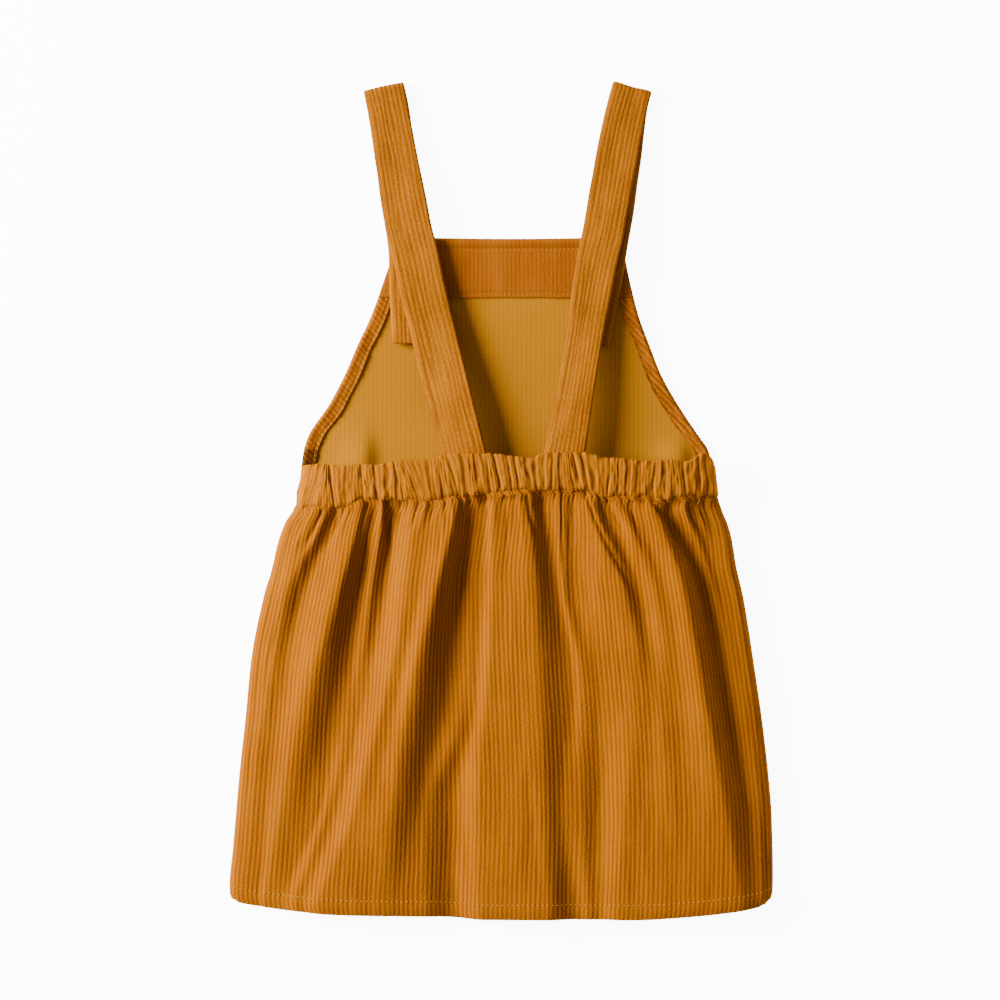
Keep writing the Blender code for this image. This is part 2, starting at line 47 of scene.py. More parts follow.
MM = 0.001
SKIRT_CLOTH = 1.8
CORD_DEPTH = 0.26
SIDE_FOOT = 1.9           # the side seams lie on the front panel
WALES = 124
STEPS_PER_WALE = 4
HEM_MIDDLE_Y = -251.4
HEM_RISE = 10.2
HEM_STITCH = 9.0          # the hem's stitching above its edge
WAIST_BLEND = 9.0
WAIST_MIDDLE_X = 4.2
FLARE_FROM = 70.0         # the casing's ends flare beyond this distance from its middle
FLARE_OVER = 54.0
PILE_LENGTH = 2.7         # length of cord for each unit of the cloth's pattern
SKIRT_LEFT = ((12.0, -121.4), (3.0, -122.6), (-6.0, -124.8), (-15.0, -130.2), (-24.0, -133.8),
              (-42.0, -138.3), (-60.0, -143.1), (-96.0, -150.3), (-132.0, -153.9),
              (-168.0, -157.8), (-213.0, -161.7), (-228.0, -163.3), (-236.0, -163.6),
              (-241.2, -162.4))
SKIRT_RIGHT = ((12.0, 130.0), (3.0, 130.2), (-6.0, 132.8), (-15.0, 136.6), (-24.0, 139.0),
               (-42.0, 142.0), (-60.0, 146.2), (-96.0, 151.9), (-132.0, 157.2),
               (-168.0, 161.3), (-189.0, 163.0), (-228.0, 163.9), (-236.0, 163.7),
               (-241.2, 162.4))
# the hem's lower edge: (x, y)
HEM_LINE = ((-162.6, -239.8), (-157.0, -241.9), (-143.4, -244.0), (-128.4, -246.0),
            (-98.4, -248.4), (-70.0, -249.2), (-40.0, -249.8), (-8.4, -251.6), (81.6, -251.8),
            (99.0, -250.9), (126.6, -248.6), (150.6, -245.4), (158.6, -243.4), (162.8, -240.2))
CASING_FOOT = ((-123.0, -4.8), (-109.5, -4.6), (-100.9, -4.1), (-94.0, -3.1), (-88.0, -1.7),
               (-78.6, 0.9), (-67.5, 0.8), (-61.0, -0.8), (-49.5, -1.0), (-40.9, -0.8),
               (-32.3, 1.6), (-18.0, 3.4), (0.0, 5.0), (25.0, 5.5), (50.0, 6.2), (55.0, 4.4),
               (61.0, 2.8), (70.5, 2.0), (85.0, 2.4), (93.7, 0.8), (102.0, 1.6), (119.4, 2.8),
               (129.6, 2.4))
CASING_HEIGHT = ((-115.2, 14.0), (-105.6, 17.5), (-84.6, 19.5), (-48.6, 21.0), (0.0, 22.0),
                 (47.4, 21.5), (89.4, 20.3), (113.4, 18.4), (124.6, 15.6))
CASING_ENDS = (-120.6, 129.0)
# grooves between the waist's gathers: (x at the casing's top, x at its foot, depth)
GATHERS = ((-113.4, -115.8, 0.8), (-108.6, -112.2, 0.7), (-103.8, -97.2, 1.2), (-92.4, -90.6, 0.9),
           (-84.0, -81.0, 1.2), (-77.4, -73.2, 1.0), (-67.8, -67.8, 0.9), (-63.0, -61.2, 0.6),
           (-58.2, -48.6, 1.3), (-50.4, -43.8, 0.8), (-43.2, -40.2, 0.7), (-37.8, -34.8, 0.7),
           (-33.0, -25.8, 1.2), (-22.8, -20.4, 1.6), (-15.6, -11.4, 1.0), (-9.6, -6.6, 0.7),
           (-4.8, 0.0, 1.1), (3.6, 6.6, 0.6), (8.4, 11.4, 0.6), (13.8, 19.2, 1.2),
           (20.4, 22.2, 1.6), (25.2, 25.8, 0.8), (30.6, 30.6, 0.7), (36.0, 36.0, 0.8),
           (42.0, 47.4, 0.9), (47.4, 52.2, 1.3), (54.0, 55.8, 0.8), (60.0, 60.6, 1.1),
           (64.8, 63.0, 0.8), (70.8, 70.8, 0.7), (76.2, 74.4, 1.0), (83.4, 82.2, 0.9),
           (91.8, 90.6, 1.5), (97.8, 96.0, 0.9), (103.2, 103.8, 0.8), (109.2, 109.8, 1.3),
           (114.0, 112.8, 0.7), (118.2, 117.6, 0.7), (123.0, 123.0, 0.9))
# heights down the skirt at which each fold's numbers are taken
FOLD_LEVELS = (-3.0, -51.0, -114.0, -186.0, -243.0)
# x of the crest line, height of the crest, drop to the valley on its right, width of the drop
FOLDS = (
    ((-107.4, -128.4, -139.8, -148.2, -150.6), (17.0, 15.5, 14.0, 12.5, 11.5),
     (3.5, 3.0, 0.4, 0.0, 0.0), (7.8, 9.6, 7.2, 6.0, 6.0)),
    ((-84.0, -98.4, -115.5, -130.0, -142.0), (19.5, 20.5, 19.5, 15.2, 13.2),
     (3.6, 10.0, 7.6, 2.8, 0.0), (8.4, 13.2, 22.0, 21.0, 10.0)),
    ((-71.4, -78.0, -87.0, -103.5, -123.0), (19.0, 14.5, 12.5, 14.6, 16.0),
     (5.0, 3.0, 0.0, 0.0, 0.0), (6.6, 7.2, 4.8, 3.6, 3.6)),
    ((-49.8, -55.2, -67.8, -86.4, -108.0), (20.0, 20.0, 20.5, 20.5, 19.5),
     (0.0, 0.0, 0.0, 0.0, 0.0), (6.0, 4.8, 4.8, 6.0, 9.6)),
    ((-27.0, -39.5, -54.4, -66.0, -75.0), (22.5, 23.5, 23.5, 22.0, 18.5),
     (6.8, 13.5, 12.0, 5.8, 1.6), (11.6, 16.0, 26.0, 17.0, 14.0)),
    ((-12.4, -15.6, -20.0, -44.0, -46.0), (16.4, 12.5, 12.8, 15.2, 15.8),
     (0.0, 0.0, 0.0, 4.4, 5.8), (2.4, 3.0, 4.8, 16.0, 18.0)),
    ((-5.4, -4.2, -7.8, -12.6, -11.4), (20.0, 17.0, 16.5, 16.5, 16.5),
     (0.0, 0.0, 0.0, 0.0, 0.0), (4.8, 4.8, 4.8, 4.8, 4.8)),
    ((15.6, 19.2, 21.6, 24.5, 27.5), (22.0, 19.0, 18.0, 17.5, 17.5),
     (6.5, 7.0, 5.6, 4.2, 6.8), (8.4, 14.0, 22.0, 14.0, 18.0)),
    ((36.0, 37.2, 49.0, 47.0, 53.0), (19.5, 14.5, 13.6, 13.0, 12.2),
     (1.8, 1.6, 0.4, 2.6, 0.5), (6.0, 6.0, 8.4, 12.0, 4.8)),
    ((53.4, 72.6, 83.4, 74.4, 72.6), (21.0, 19.0, 17.0, 16.5, 16.5),
     (4.5, 4.0, 0.2, 0.0, 0.0), (8.4, 9.6, 7.2, 6.0, 6.0)),
    ((72.6, 92.4, 101.4, 101.4, 98.4), (20.0, 18.5, 17.5, 17.5, 17.3),
     (2.0, 0.3, 0.0, 0.0, 0.0), (5.4, 4.8, 4.8, 4.8, 4.8)),
    ((92.4, 108.8, 119.8, 133.0, 142.5), (20.5, 21.5, 21.5, 20.0, 16.6),
     (7.0, 12.4, 12.2, 9.4, 3.4), (9.0, 13.2, 16.8, 17.0, 9.6)),
    ((109.8, 127.2, 142.2, 153.6, 154.8), (17.5, 11.0, 10.8, 11.0, 12.5),
     (4.0, 0.5, 0.0, 0.0, 0.0), (6.6, 3.0, 1.8, 1.2, 0.9)),
)
# creases in the back skirt: path of (x, y), height of the ridge or groove, half width, and the
# share of its length over which it fades in from its start
CREASES = (
    (((-107.0, -6.9), (-113.0, -20.0), (-122.0, -36.0)), -1.5, 1.7, 0.0),
    (((-112.0, -6.0), (-118.0, -19.0), (-127.0, -33.0)), 0.7, 1.6, 0.0),
    (((-98.5, -4.3), (-98.6, -14.0), (-98.8, -24.0)), -0.8, 1.0, 0.0),
    (((-93.0, -3.5), (-97.0, -14.0), (-107.0, -31.0)), -0.7, 1.1, 0.1),
    (((-90.5, -5.0), (-94.5, -14.0), (-102.0, -34.0)), 0.9, 1.7, 0.0),
    (((-79.5, -3.0), (-82.0, -12.0), (-85.5, -27.0)), -0.9, 1.5, 0.0),
    (((-68.2, -1.0), (-67.3, -14.0), (-67.0, -28.0), (-68.5, -46.0)), -2.5, 1.6, 0.0),
    (((-71.6, 1.0), (-71.2, -10.0), (-71.6, -30.0)), 1.0, 1.5, 0.0),
    (((-80.0, -16.0), (-80.6, -28.0), (-82.0, -44.0)), -0.6, 0.9, 0.3),
    (((-75.0, -8.0), (-75.2, -24.0), (-77.0, -50.0)), -0.5, 0.9, 0.2),
    (((-77.4, -10.0), (-78.0, -26.0), (-79.0, -48.0)), 0.4, 0.9, 0.3),
    (((-60.0, -1.5), (-60.5, -8.0), (-61.0, -16.0)), -0.5, 0.9, 0.0),
    (((-55.5, -1.5), (-56.2, -7.0), (-57.5, -13.0)), -0.5, 0.8, 0.0),
    (((-49.5, -1.5), (-52.0, -12.0), (-56.5, -24.0)), -0.9, 1.2, 0.0),
    (((-44.5, -1.0), (-46.5, -10.0), (-50.0, -24.0)), 0.7, 1.4, 0.0),
    (((-40.2, -1.0), (-41.2, -8.0), (-43.5, -17.0)), -0.7, 0.9, 0.0),
    (((-33.4, 1.0), (-33.0, -10.0), (-33.8, -30.0)), -0.7, 0.9, 0.0),
    (((-36.6, -6.0), (-36.8, -24.0), (-40.0, -50.0)), -0.4, 0.9, 0.2),
    (((-30.0, 1.0), (-28.5, -8.0), (-29.0, -22.0)), 0.7, 1.2, 0.0),
    (((-23.0, 3.0), (-22.6, -6.0), (-24.5, -20.0)), -1.2, 1.7, 0.0),
    (((-14.6, 4.0), (-14.2, -2.0), (-14.4, -9.0)), 1.3, 2.4, 0.0),
    (((-8.8, 3.0), (-8.6, -5.0), (-8.4, -15.0)), -1.2, 0.9, 0.0),
    (((-8.4, -14.0), (-8.2, -34.0), (-9.5, -70.0)), -0.45, 1.0, 0.2),
    (((-4.5, 4.0), (-4.0, -6.0), (-3.8, -20.0)), 0.5, 1.2, 0.0),
    (((0.5, 3.5), (8.0, 3.4), (16.5, 0.8)), 1.5, 1.8, 0.0),
    (((2.0, 0.2), (9.0, 0.2), (15.0, -2.0)), -0.6, 0.9, 0.1),
    (((15.8, 2.0), (17.4, -9.0), (23.0, -27.0)), -1.6, 1.6, 0.0),
    (((11.5, 0.5), (12.6, -14.0), (14.5, -38.0)), 0.6, 1.5, 0.0),
    (((3.4, -1.0), (3.6, -16.0), (4.4, -44.0)), -0.4, 0.9, 0.1),
    (((24.4, 4.5), (25.0, -3.0), (26.0, -14.0)), -0.7, 1.0, 0.0),
    (((28.6, 4.5), (28.6, -8.0), (29.4, -26.0)), 0.7, 1.4, 0.0),
    (((36.3, 5.0), (36.7, -20.0), (37.2, -58.0)), -1.1, 0.9, 0.0),
    (((39.4, 4.5), (40.4, -6.0), (41.4, -20.0)), 0.6, 1.1, 0.0),
    (((43.4, 5.0), (44.0, -2.0), (45.0, -11.0)), -0.6, 0.8, 0.0),
    (((50.4, 5.0), (54.4, -7.0), (61.4, -22.5), (74.2, -45.0), (84.0, -64.0)), -1.7, 1.5, 0.0),
    (((56.4, 3.0), (58.6, -6.0), (62.6, -14.0)), 0.7, 1.2, 0.0),
    (((62.6, 2.2), (65.0, -5.0), (71.5, -15.0), (77.5, -24.0)), -1.2, 1.0, 0.0),
    (((66.5, 1.6), (69.0, -4.5), (74.0, -12.0)), 0.7, 1.1, 0.0),
    (((71.6, 1.4), (73.0, -2.6), (76.6, -6.5)), -0.9, 0.9, 0.0),
    (((75.0, 0.6), (81.0, 1.2), (86.5, 0.2)), 1.0, 1.6, 0.1),
    (((78.0, -5.0), (83.0, -22.0), (89.0, -46.0)), -0.5, 1.0, 0.2),
    (((90.2, -0.5), (96.0, -7.0), (101.5, -14.0), (107.0, -31.0)), -1.9, 1.6, 0.0),
    (((93.6, 0.5), (99.5, -1.2), (105.6, -1.0)), 0.8, 1.2, 0.1),
    (((103.0, -2.0), (106.5, -12.0), (111.0, -27.0)), 0.6, 1.4, 0.0),
    (((111.4, -2.0), (115.2, -12.0), (121.5, -22.0)), -1.5, 1.3, 0.0),
    (((115.5, 0.5), (119.0, -10.0), (125.5, -24.0)), 0.7, 1.4, 0.0),
    (((120.5, 0.5), (124.0, -8.0), (129.0, -20.0)), -0.6, 0.9, 0.0),
    (((-131.0, -62.0), (-139.0, -96.0), (-145.0, -134.0)), -0.7, 1.8, 0.4),
    (((-101.0, -150.0), (-112.0, -190.0), (-122.0, -228.0)), 0.6, 5.0, 0.5),
    (((8.0, -40.0), (7.0, -110.0), (8.0, -190.0)), 0.5, 5.0, 0.4),
    (((17.0, -150.0), (18.0, -200.0), (19.0, -246.0)), -0.6, 3.5, 0.5),
    (((60.0, -70.0), (62.0, -140.0), (60.0, -210.0)), -0.5, 6.0, 0.4),
    (((92.0, -90.0), (98.0, -150.0), (104.0, -220.0)), 0.5, 4.5, 0.4),
)
SHOULDER_WIDTH = (5.0, 5.0, 4.8, 4.6, 4.2)
SHOULDER_LEFT = (13.0, 12.0, 11.5, 11.0, 10.5)
SHOULDER_RIGHT = (12.0, 11.0, 10.6, 9.8, 9.5)


def through(x, knots):
    """Read the smooth curve through the knots (x, value) at x; it never overshoots a knot."""
    table = np.asarray(knots, dtype=float)
    table = table[np.argsort(table[:, 0])]
    xs, ys = table[:, 0], table[:, 1]
    steps = np.diff(xs)
    slopes = np.diff(ys) / steps
    tangents = np.zeros(len(xs))
    tangents[0], tangents[-1] = slopes[0], slopes[-1]
    for i in range(1, len(xs) - 1):
        if slopes[i - 1] * slopes[i] > 0:
            tangents[i] = 2 * slopes[i - 1] * slopes[i] / (slopes[i - 1] + slopes[i])
    x = np.clip(np.asarray(x, dtype=float), xs[0], xs[-1])
    i = np.clip(np.searchsorted(xs, x) - 1, 0, len(xs) - 2)
    t = (x - xs[i]) / steps[i]
    start = (1 + 2 * t) * (1 - t) ** 2 * ys[i] + t * (1 - t) ** 2 * steps[i] * tangents[i]
    end = t * t * (3 - 2 * t) * ys[i + 1] + t * t * (t - 1) * steps[i] * tangents[i + 1]
    return start + end


def at_level(y, values):
    """Read one row of the fold table at height y down the skirt."""
    return float(through(y, tuple(zip(FOLD_LEVELS, values))))


def uneven(u, v, seed):
    """Smooth random unevenness, -1 to 1, about one swell for each unit of u and v."""
    grid = np.random.default_rng(seed).random((97, 89)) * 2 - 1
    u, v = np.broadcast_arrays(np.asarray(u, dtype=float), np.asarray(v, dtype=float))
    iu, iv = np.floor(u).astype(int), np.floor(v).astype(int)
    fu, fv = u - iu, v - iv
    fu, fv = fu * fu * (3 - 2 * fu), fv * fv * (3 - 2 * fv)

    def corner(du, dv):
        return grid[(iu + du) % 97, (iv + dv) % 89]

    low = corner(0, 0) * (1 - fu) + corner(1, 0) * fu
    high = corner(0, 1) * (1 - fu) + corner(1, 1) * fu
    return low * (1 - fv) + high * fv


def walked(points):
    """Length walked along a path of points, at each of them."""
    steps = np.linalg.norm(np.diff(points, axis=0), axis=1)
    return np.concatenate(([0.0], np.cumsum(steps)))


def foot_line(x):
    """Uneven seam at the casing's foot: its y at x."""
    return through(x, CASING_FOOT) + 0.8 * uneven(x * 0.11 + 9, 0.0, 16) + (
        0.8 * uneven(x * 0.31 + 4, 0.0, 17) + 0.4 * uneven(x * 0.71, 0.0, 20))


def casing_flare(x, down):
    """How far the casing's ends move sideways, as it widens from its top to its foot."""
    shift = np.where(x < WAIST_MIDDLE_X, 1.4 - 4.6 * down, 1.8 * down)
    return shift * np.clip((np.abs(x - WAIST_MIDDLE_X) - FLARE_FROM) / FLARE_OVER, 0, 1)


def casing_height(x):
    """Mean height of the waist casing's outer face, rolled down to the side seams."""
    first, last = CASING_HEIGHT[0], CASING_HEIGHT[-1]
    near_left = np.clip((x - CASING_ENDS[0]) / (first[0] - CASING_ENDS[0]), 0, 1)
    near_right = np.clip((CASING_ENDS[1] - x) / (CASING_ENDS[1] - last[0]), 0, 1)
    round_left = SIDE_FOOT + (first[1] - SIDE_FOOT) * np.sqrt(1 - (1 - near_left) ** 2)
    round_right = SIDE_FOOT + (last[1] - SIDE_FOOT) * np.sqrt(1 - (1 - near_right) ** 2)
    z = np.where(x < first[0], round_left, through(x, CASING_HEIGHT))
    return np.where(x > last[0], round_right, z)


def pleats(x):
    """Rounded gathers of the waist and the slits between them, at x along the casing's foot."""
    feet = np.array([CASING_ENDS[0]] + [foot for _, foot, _ in GATHERS] + [CASING_ENDS[1]])
    depths = np.array([0.3] + [depth for _, _, depth in GATHERS] + [0.3])
    i = np.clip(np.searchsorted(feet, x) - 1, 0, len(feet) - 2)
    spacing = feet[i + 1] - feet[i]
    t = np.clip((x - feet[i]) / spacing, 0, 1)
    lean = t ** (1 + 0.5 * uneven(i * 1.0 + 0.5, 7.5, 18))
    arch = np.sin(np.pi * lean)
    height = np.minimum(1.3, 0.26 * spacing) * (1 + 0.45 * uneven(i * 1.0 + 0.5, 3.5, 19))
    nearest = np.where(t < 0.5, depths[i], depths[i + 1])
    distance = np.minimum(t, 1 - t) * spacing
    return 0.57 * height * (arch - 0.64), -0.46 * nearest * np.exp(-(distance / 0.95) ** 2)


def waist_to_hem(x, hem_y, down):
    """Height `down` of the way from the casing's foot at x to the hem at hem_y."""
    waist_y = float(through(x, CASING_FOOT))
    return waist_y + (hem_y - waist_y) * down


def skirt_section(down, count):
    """Points evenly spaced along the cloth of a section, `down` of the way to the hem."""
    y = waist_to_hem(0.0, HEM_MIDDLE_Y, down)
    hem_side_y = HEM_MIDDLE_Y + HEM_RISE
    left = float(through(waist_to_hem(CASING_FOOT[0][0], hem_side_y, down), SKIRT_LEFT))
    right = float(through(waist_to_hem(CASING_FOOT[-1][0], hem_side_y, down), SKIRT_RIGHT))
    shoulder = at_level(y, SHOULDER_WIDTH)
    height_left, height_right = at_level(y, SHOULDER_LEFT), at_level(y, SHOULDER_RIGHT)
    knots = [(left + shoulder, height_left)]
    for crest_x, crest_z, drop, width in FOLDS:
        x, z = at_level(y, crest_x), at_level(y, crest_z)
        knots.append((x, z))
        knots.append((x + at_level(y, width), z - at_level(y, drop)))
    knots.append((right - shoulder, height_right))
    x = np.linspace(left + shoulder, right - shoulder, 2400)
    z = through(x, knots)
    kernel = np.exp(-np.linspace(-2, 2, 33) ** 2)
    padded = np.pad(z, 16, mode="reflect", reflect_type="odd")
    z = np.convolve(padded, kernel / kernel.sum(), mode="valid")
    turn = np.linspace(0.0, math.pi / 2, 30)[:-1]
    rise_left = SIDE_FOOT + (height_left - SIDE_FOOT) * np.sin(turn)
    rise_right = SIDE_FOOT + (height_right - SIDE_FOOT) * np.sin(turn[::-1])
    x = np.concatenate((left + shoulder * (1 - np.cos(turn)), x,
                        right - shoulder * (1 - np.cos(turn[::-1]))))
    z = np.concatenate((rise_left, z, rise_right))
    gathered = max(0.0, 1 - (through(0.0, CASING_FOOT) - y) / WAIST_BLEND) ** 2
    z = z + gathered * (casing_height(x - casing_flare(x, 1.0)) - z)
    length = np.concatenate(([0.0], np.cumsum(np.hypot(np.diff(x), np.diff(z)))))
    stops = np.linspace(0.0, length[-1], count)
    return np.interp(stops, length, x), np.interp(stops, length, z)


def creases(points, table):
    """Relief of soft grooves and ridges laid along lines: (path, height, width, start fade)."""
    total = np.zeros(points.shape[:2])
    for path, height, width, fade in table:
        path = np.asarray(path, dtype=float)
        run = walked(path)
        nearest = np.full(points.shape[:2], 1e9)
        place = np.zeros(points.shape[:2])
        for start, end, before in zip(path, path[1:], run):
            step = end - start
            t = np.clip(((points[:, :, :2] - start) @ step) / (step @ step), 0, 1)
            gap = np.linalg.norm(points[:, :, :2] - (start + t[:, :, None] * step), axis=2)
            closer = gap < nearest
            nearest = np.where(closer, gap, nearest)
            place = np.where(closer, (before + t * np.linalg.norm(step)) / run[-1], place)
        taper = np.clip((1 - place) / 0.55, 0, 1) * np.clip((place + 0.02) / max(fade, 0.02), 0, 1)
        taper = taper * taper * (3 - 2 * taper)
        total += height * taper * np.exp(-(nearest / (width * (0.75 + 0.5 * place))) ** 2)
    return total


def sheet_normals(sheet):
    """Unit normals of a sheet of points, an array of (rows, columns, xyz)."""
    normals = np.cross(np.gradient(sheet, axis=0), np.gradient(sheet, axis=1))
    return normals / np.linalg.norm(normals, axis=2, keepdims=True)


def cord_relief(wale):
    """Depth of the cloth below a cord's crest, where each whole number is a crest."""
    return -CORD_DEPTH * (0.5 - 0.5 * np.cos(2 * np.pi * wale)) ** 1.4


def new_object(name, bm, *materials):
    """Put a finished bmesh into the scene as an object."""
    mesh = bpy.data.meshes.new(name)
    bm.to_mesh(mesh)
    bm.free()
    for material in materials:
        mesh.materials.append(material)
    made = bpy.data.objects.new(name, mesh)
    bpy.context.collection.objects.link(made)
    return made


def cloth_piece(name, sheet, uv, thickness, relief, materials, closed=False):
    """Make a thin cloth shell from a sheet of points in mm, with relief raised on its outside."""
    rows, columns = sheet.shape[:2]
    bm = bmesh.new()
    bmesh.ops.create_grid(bm, x_segments=columns - 1, y_segments=rows - 1, size=1.0)
    shell = new_object(name, bm, *materials)
    mesh = shell.data
    flat = np.empty(len(mesh.vertices) * 3)
    mesh.vertices.foreach_get("co", flat)
    flat = flat.reshape(-1, 3)
    column = np.rint((flat[:, 0] + 1) / 2 * (columns - 1)).astype(int)
    row = np.rint((1 - flat[:, 1]) / 2 * (rows - 1)).astype(int)
    mesh.vertices.foreach_set("co", (sheet[row, column] * MM).ravel())
    corners = np.empty(len(mesh.loops), dtype=int)
    mesh.loops.foreach_get("vertex_index", corners)
    layer = mesh.uv_layers.get("cloth") or mesh.uv_layers.new(name="cloth")
    layer.data.foreach_set("uv", uv[row[corners], column[corners]].ravel())
    for other in [l.name for l in mesh.uv_layers if l.name != "cloth"]:
        mesh.uv_layers.remove(mesh.uv_layers[other])
    if thickness:
        wall = shell.modifiers.new("thickness", "SOLIDIFY")
        wall.thickness = thickness * MM
        wall.offset = -1.0
        wall.material_offset = len(materials) - 1
        solid = bpy.data.meshes.new_from_object(
            shell.evaluated_get(bpy.context.evaluated_depsgraph_get()))
        shell.modifiers.clear()
        shell.data = solid
        mesh = solid
    raised = np.empty(len(mesh.vertices) * 3)
    mesh.vertices.foreach_get("co", raised)
    raised = raised.reshape(-1, 3)
    outside = sheet + sheet_normals(sheet) * relief[:, :, None]
    raised[:len(row)] = outside[row, column] * MM
    mesh.vertices.foreach_set("co", raised.ravel())
    if closed:
        bm = bmesh.new()
        bm.from_mesh(mesh)
        bmesh.ops.remove_doubles(bm, verts=bm.verts, dist=1e-6)
        bmesh.ops.holes_fill(bm, edges=bm.edges[:], sides=0)
        bmesh.ops.recalc_face_normals(bm, faces=bm.faces)
        bm.to_mesh(mesh)
        bm.free()
    mesh.shade_smooth()
    mesh.set_sharp_from_angle(angle=math.radians(75))
    mesh.update()
    return shell


def colour(hexcode):
    """Scene-linear colour of an sRGB hex code."""
    channels = [int(hexcode[i:i + 2], 16) / 255 for i in (1, 3, 5)]
    return tuple(c / 12.92 if c <= 0.04045 else ((c + 0.055) / 1.055) ** 2.4
                 for c in channels) + (1.0,)


def add_node(tree, kind, inputs, **settings):
    """Add a shader node, set its options, and set or link its inputs by name or number."""
    node = tree.nodes.new(kind)
    for key, value in settings.items():
        setattr(node, key, value)
    for key, value in inputs.items():
        if isinstance(value, bpy.types.NodeSocket):
            tree.links.new(value, node.inputs[key])
        else:
            node.inputs[key].default_value = value
    return node


def new_material(name, roughness, specular=0.5):
    """Start a material: the material, its node tree and its shader."""
    material = bpy.data.materials.new(name)
    material.use_nodes = True
    shader = material.node_tree.nodes["Principled BSDF"]
    shader.inputs["Roughness"].default_value = roughness
    shader.inputs["Specular IOR Level"].default_value = specular
    return material, material.node_tree, shader


def combine(tree, operation, first, *others):
    """Result of a maths operation on a value, or on each further value in turn."""
    if not others:
        return add_node(tree, "ShaderNodeMath", {0: first}, operation=operation).outputs[0]
    for other in others:
        node = add_node(tree, "ShaderNodeMath", {0: first, 1: other}, operation=operation)
        first = node.outputs[0]
    return first


def ranged(tree, value, lowest, highest, source=(0.0, 1.0), **settings):
    """Map a value from its source range to the range from lowest to highest."""
    return add_node(tree, "ShaderNodeMapRange",
                    {"Value": value, "From Min": source[0], "From Max": source[1],
                     "To Min": lowest, "To Max": highest}, **settings).outputs["Result"]


def cloth_noise(tree, place, scale, detail=3.0):
    """Random pattern in the plane of the cloth, scaled (across, along) its cords."""
    stretch = add_node(tree, "ShaderNodeMapping", {"Vector": place, "Scale": (*scale, 1.0)})
    return add_node(tree, "ShaderNodeTexNoise", {"Vector": stretch.outputs[0], "Scale": 1.0,
                                                 "Detail": detail},
                    noise_dimensions="2D").outputs["Fac"]


def body_noise(tree, scale, detail=2.0):
    """Random pattern through the whole piece."""
    body = add_node(tree, "ShaderNodeTexCoord", {}).outputs["Object"]
    return add_node(tree, "ShaderNodeTexNoise", {"Vector": body, "Scale": scale,
                                                 "Detail": detail}).outputs["Fac"]


def cord_wave(tree, place):
    """Wave across the cloth: 1 on each cord's crest, -1 between the cords."""
    across = add_node(tree, "ShaderNodeSeparateXYZ", {0: place}).outputs["X"]
    return combine(tree, "COSINE", combine(tree, "MULTIPLY", across, 2 * math.pi))


def tint(tree, base, brightness, hue=0.5):
    """Give the shader a base colour that varies in brightness and hue."""
    tinted = add_node(tree, "ShaderNodeHueSaturation", {"Color": base, "Hue": hue,
                                                        "Value": brightness})
    tree.links.new(tinted.outputs["Color"], tree.nodes["Principled BSDF"].inputs["Base Color"])


def roughen(tree, height, strength, distance):
    """Raise fine bumps on the shader's surface."""
    bump = add_node(tree, "ShaderNodeBump", {"Height": height, "Strength": strength,
                                             "Distance": distance})
    tree.links.new(bump.outputs["Normal"], tree.nodes["Principled BSDF"].inputs["Normal"])


def corduroy(name, crest, flank, groove, nap=0.12, worn=0.3):
    """Cotton corduroy, brushed nap: cord grooves darker, partly own tone and partly painted shade.
    """
    material, tree, shader = new_material(name, 0.95, 0.0)
    place = add_node(tree, "ShaderNodeUVMap", {}, uv_map="cloth").outputs["UV"]
    rise = ranged(tree, cord_wave(tree, place), 0.0, 1.0, (-1.0, 1.0),
                  interpolation_type="SMOOTHSTEP")
    brushed = cloth_noise(tree, place, (0.21, 0.045))
    flattened = ranged(tree, brushed, 0.0, worn, (0.35, 0.65))
    cord = add_node(tree, "ShaderNodeMix", {"Factor": flattened, "A": rise, "B": 0.65})
    # partly painted shade: the ramp runs from the groove colour between the cords to the crest
    # colour on them
    ramp = add_node(tree, "ShaderNodeValToRGB", {"Fac": cord.outputs["Result"]})
    ramp.color_ramp.elements[0].color = colour(groove)
    ramp.color_ramp.elements[1].color = colour(crest)
    ramp.color_ramp.elements.new(0.45).color = colour(flank)
    streaks = cloth_noise(tree, place, (1.7, 0.13))
    tufts = cloth_noise(tree, place, (2.3, 1.5))
    clouds = body_noise(tree, 38.0)
    fibres = body_noise(tree, 1500.0)
    tone = combine(tree, "ADD", streaks, clouds, brushed, fibres, tufts)
    shade = ranged(tree, tone, 1.0 - nap, 1.0 + nap, (2.0, 3.0))
    warmth = ranged(tree, brushed, 0.4985, 0.5015, (0.3, 0.7))
    tint(tree, ramp.outputs["Color"], shade, warmth)
    pile = combine(tree, "ADD", tufts, combine(tree, "MULTIPLY", fibres, 0.35))
    roughen(tree, pile, 0.7, 0.00035)
    shader.inputs["Sheen Weight"].default_value = 0.1
    shader.inputs["Sheen Roughness"].default_value = 0.42
    shader.inputs["Sheen Tint"].default_value = colour("#E08800")
    return material


def wrong_side(name, base, line):
    """Plain back of the corduroy: a flat weave with the cords showing as faint lines."""
    material, tree, _ = new_material(name, 0.95, 0.0)
    place = add_node(tree, "ShaderNodeUVMap", {}, uv_map="cloth").outputs["UV"]
    patches = cloth_noise(tree, place, (0.6, 0.05), 2.0)
    weave = body_noise(tree, 1900.0, 1.0)
    faint = combine(tree, "MULTIPLY", cord_wave(tree, place),
                    combine(tree, "MULTIPLY", patches, 0.7))
    level = combine(tree, "ADD", faint, body_noise(tree, 22.0))
    mix = add_node(tree, "ShaderNodeMix", {"Factor": level, "A": colour(line),
                                           "B": colour(base)}, data_type="RGBA")
    tint(tree, mix.outputs["Result"], ranged(tree, weave, 0.93, 1.07))
    roughen(tree, weave, 0.35, 0.00015)
    return material


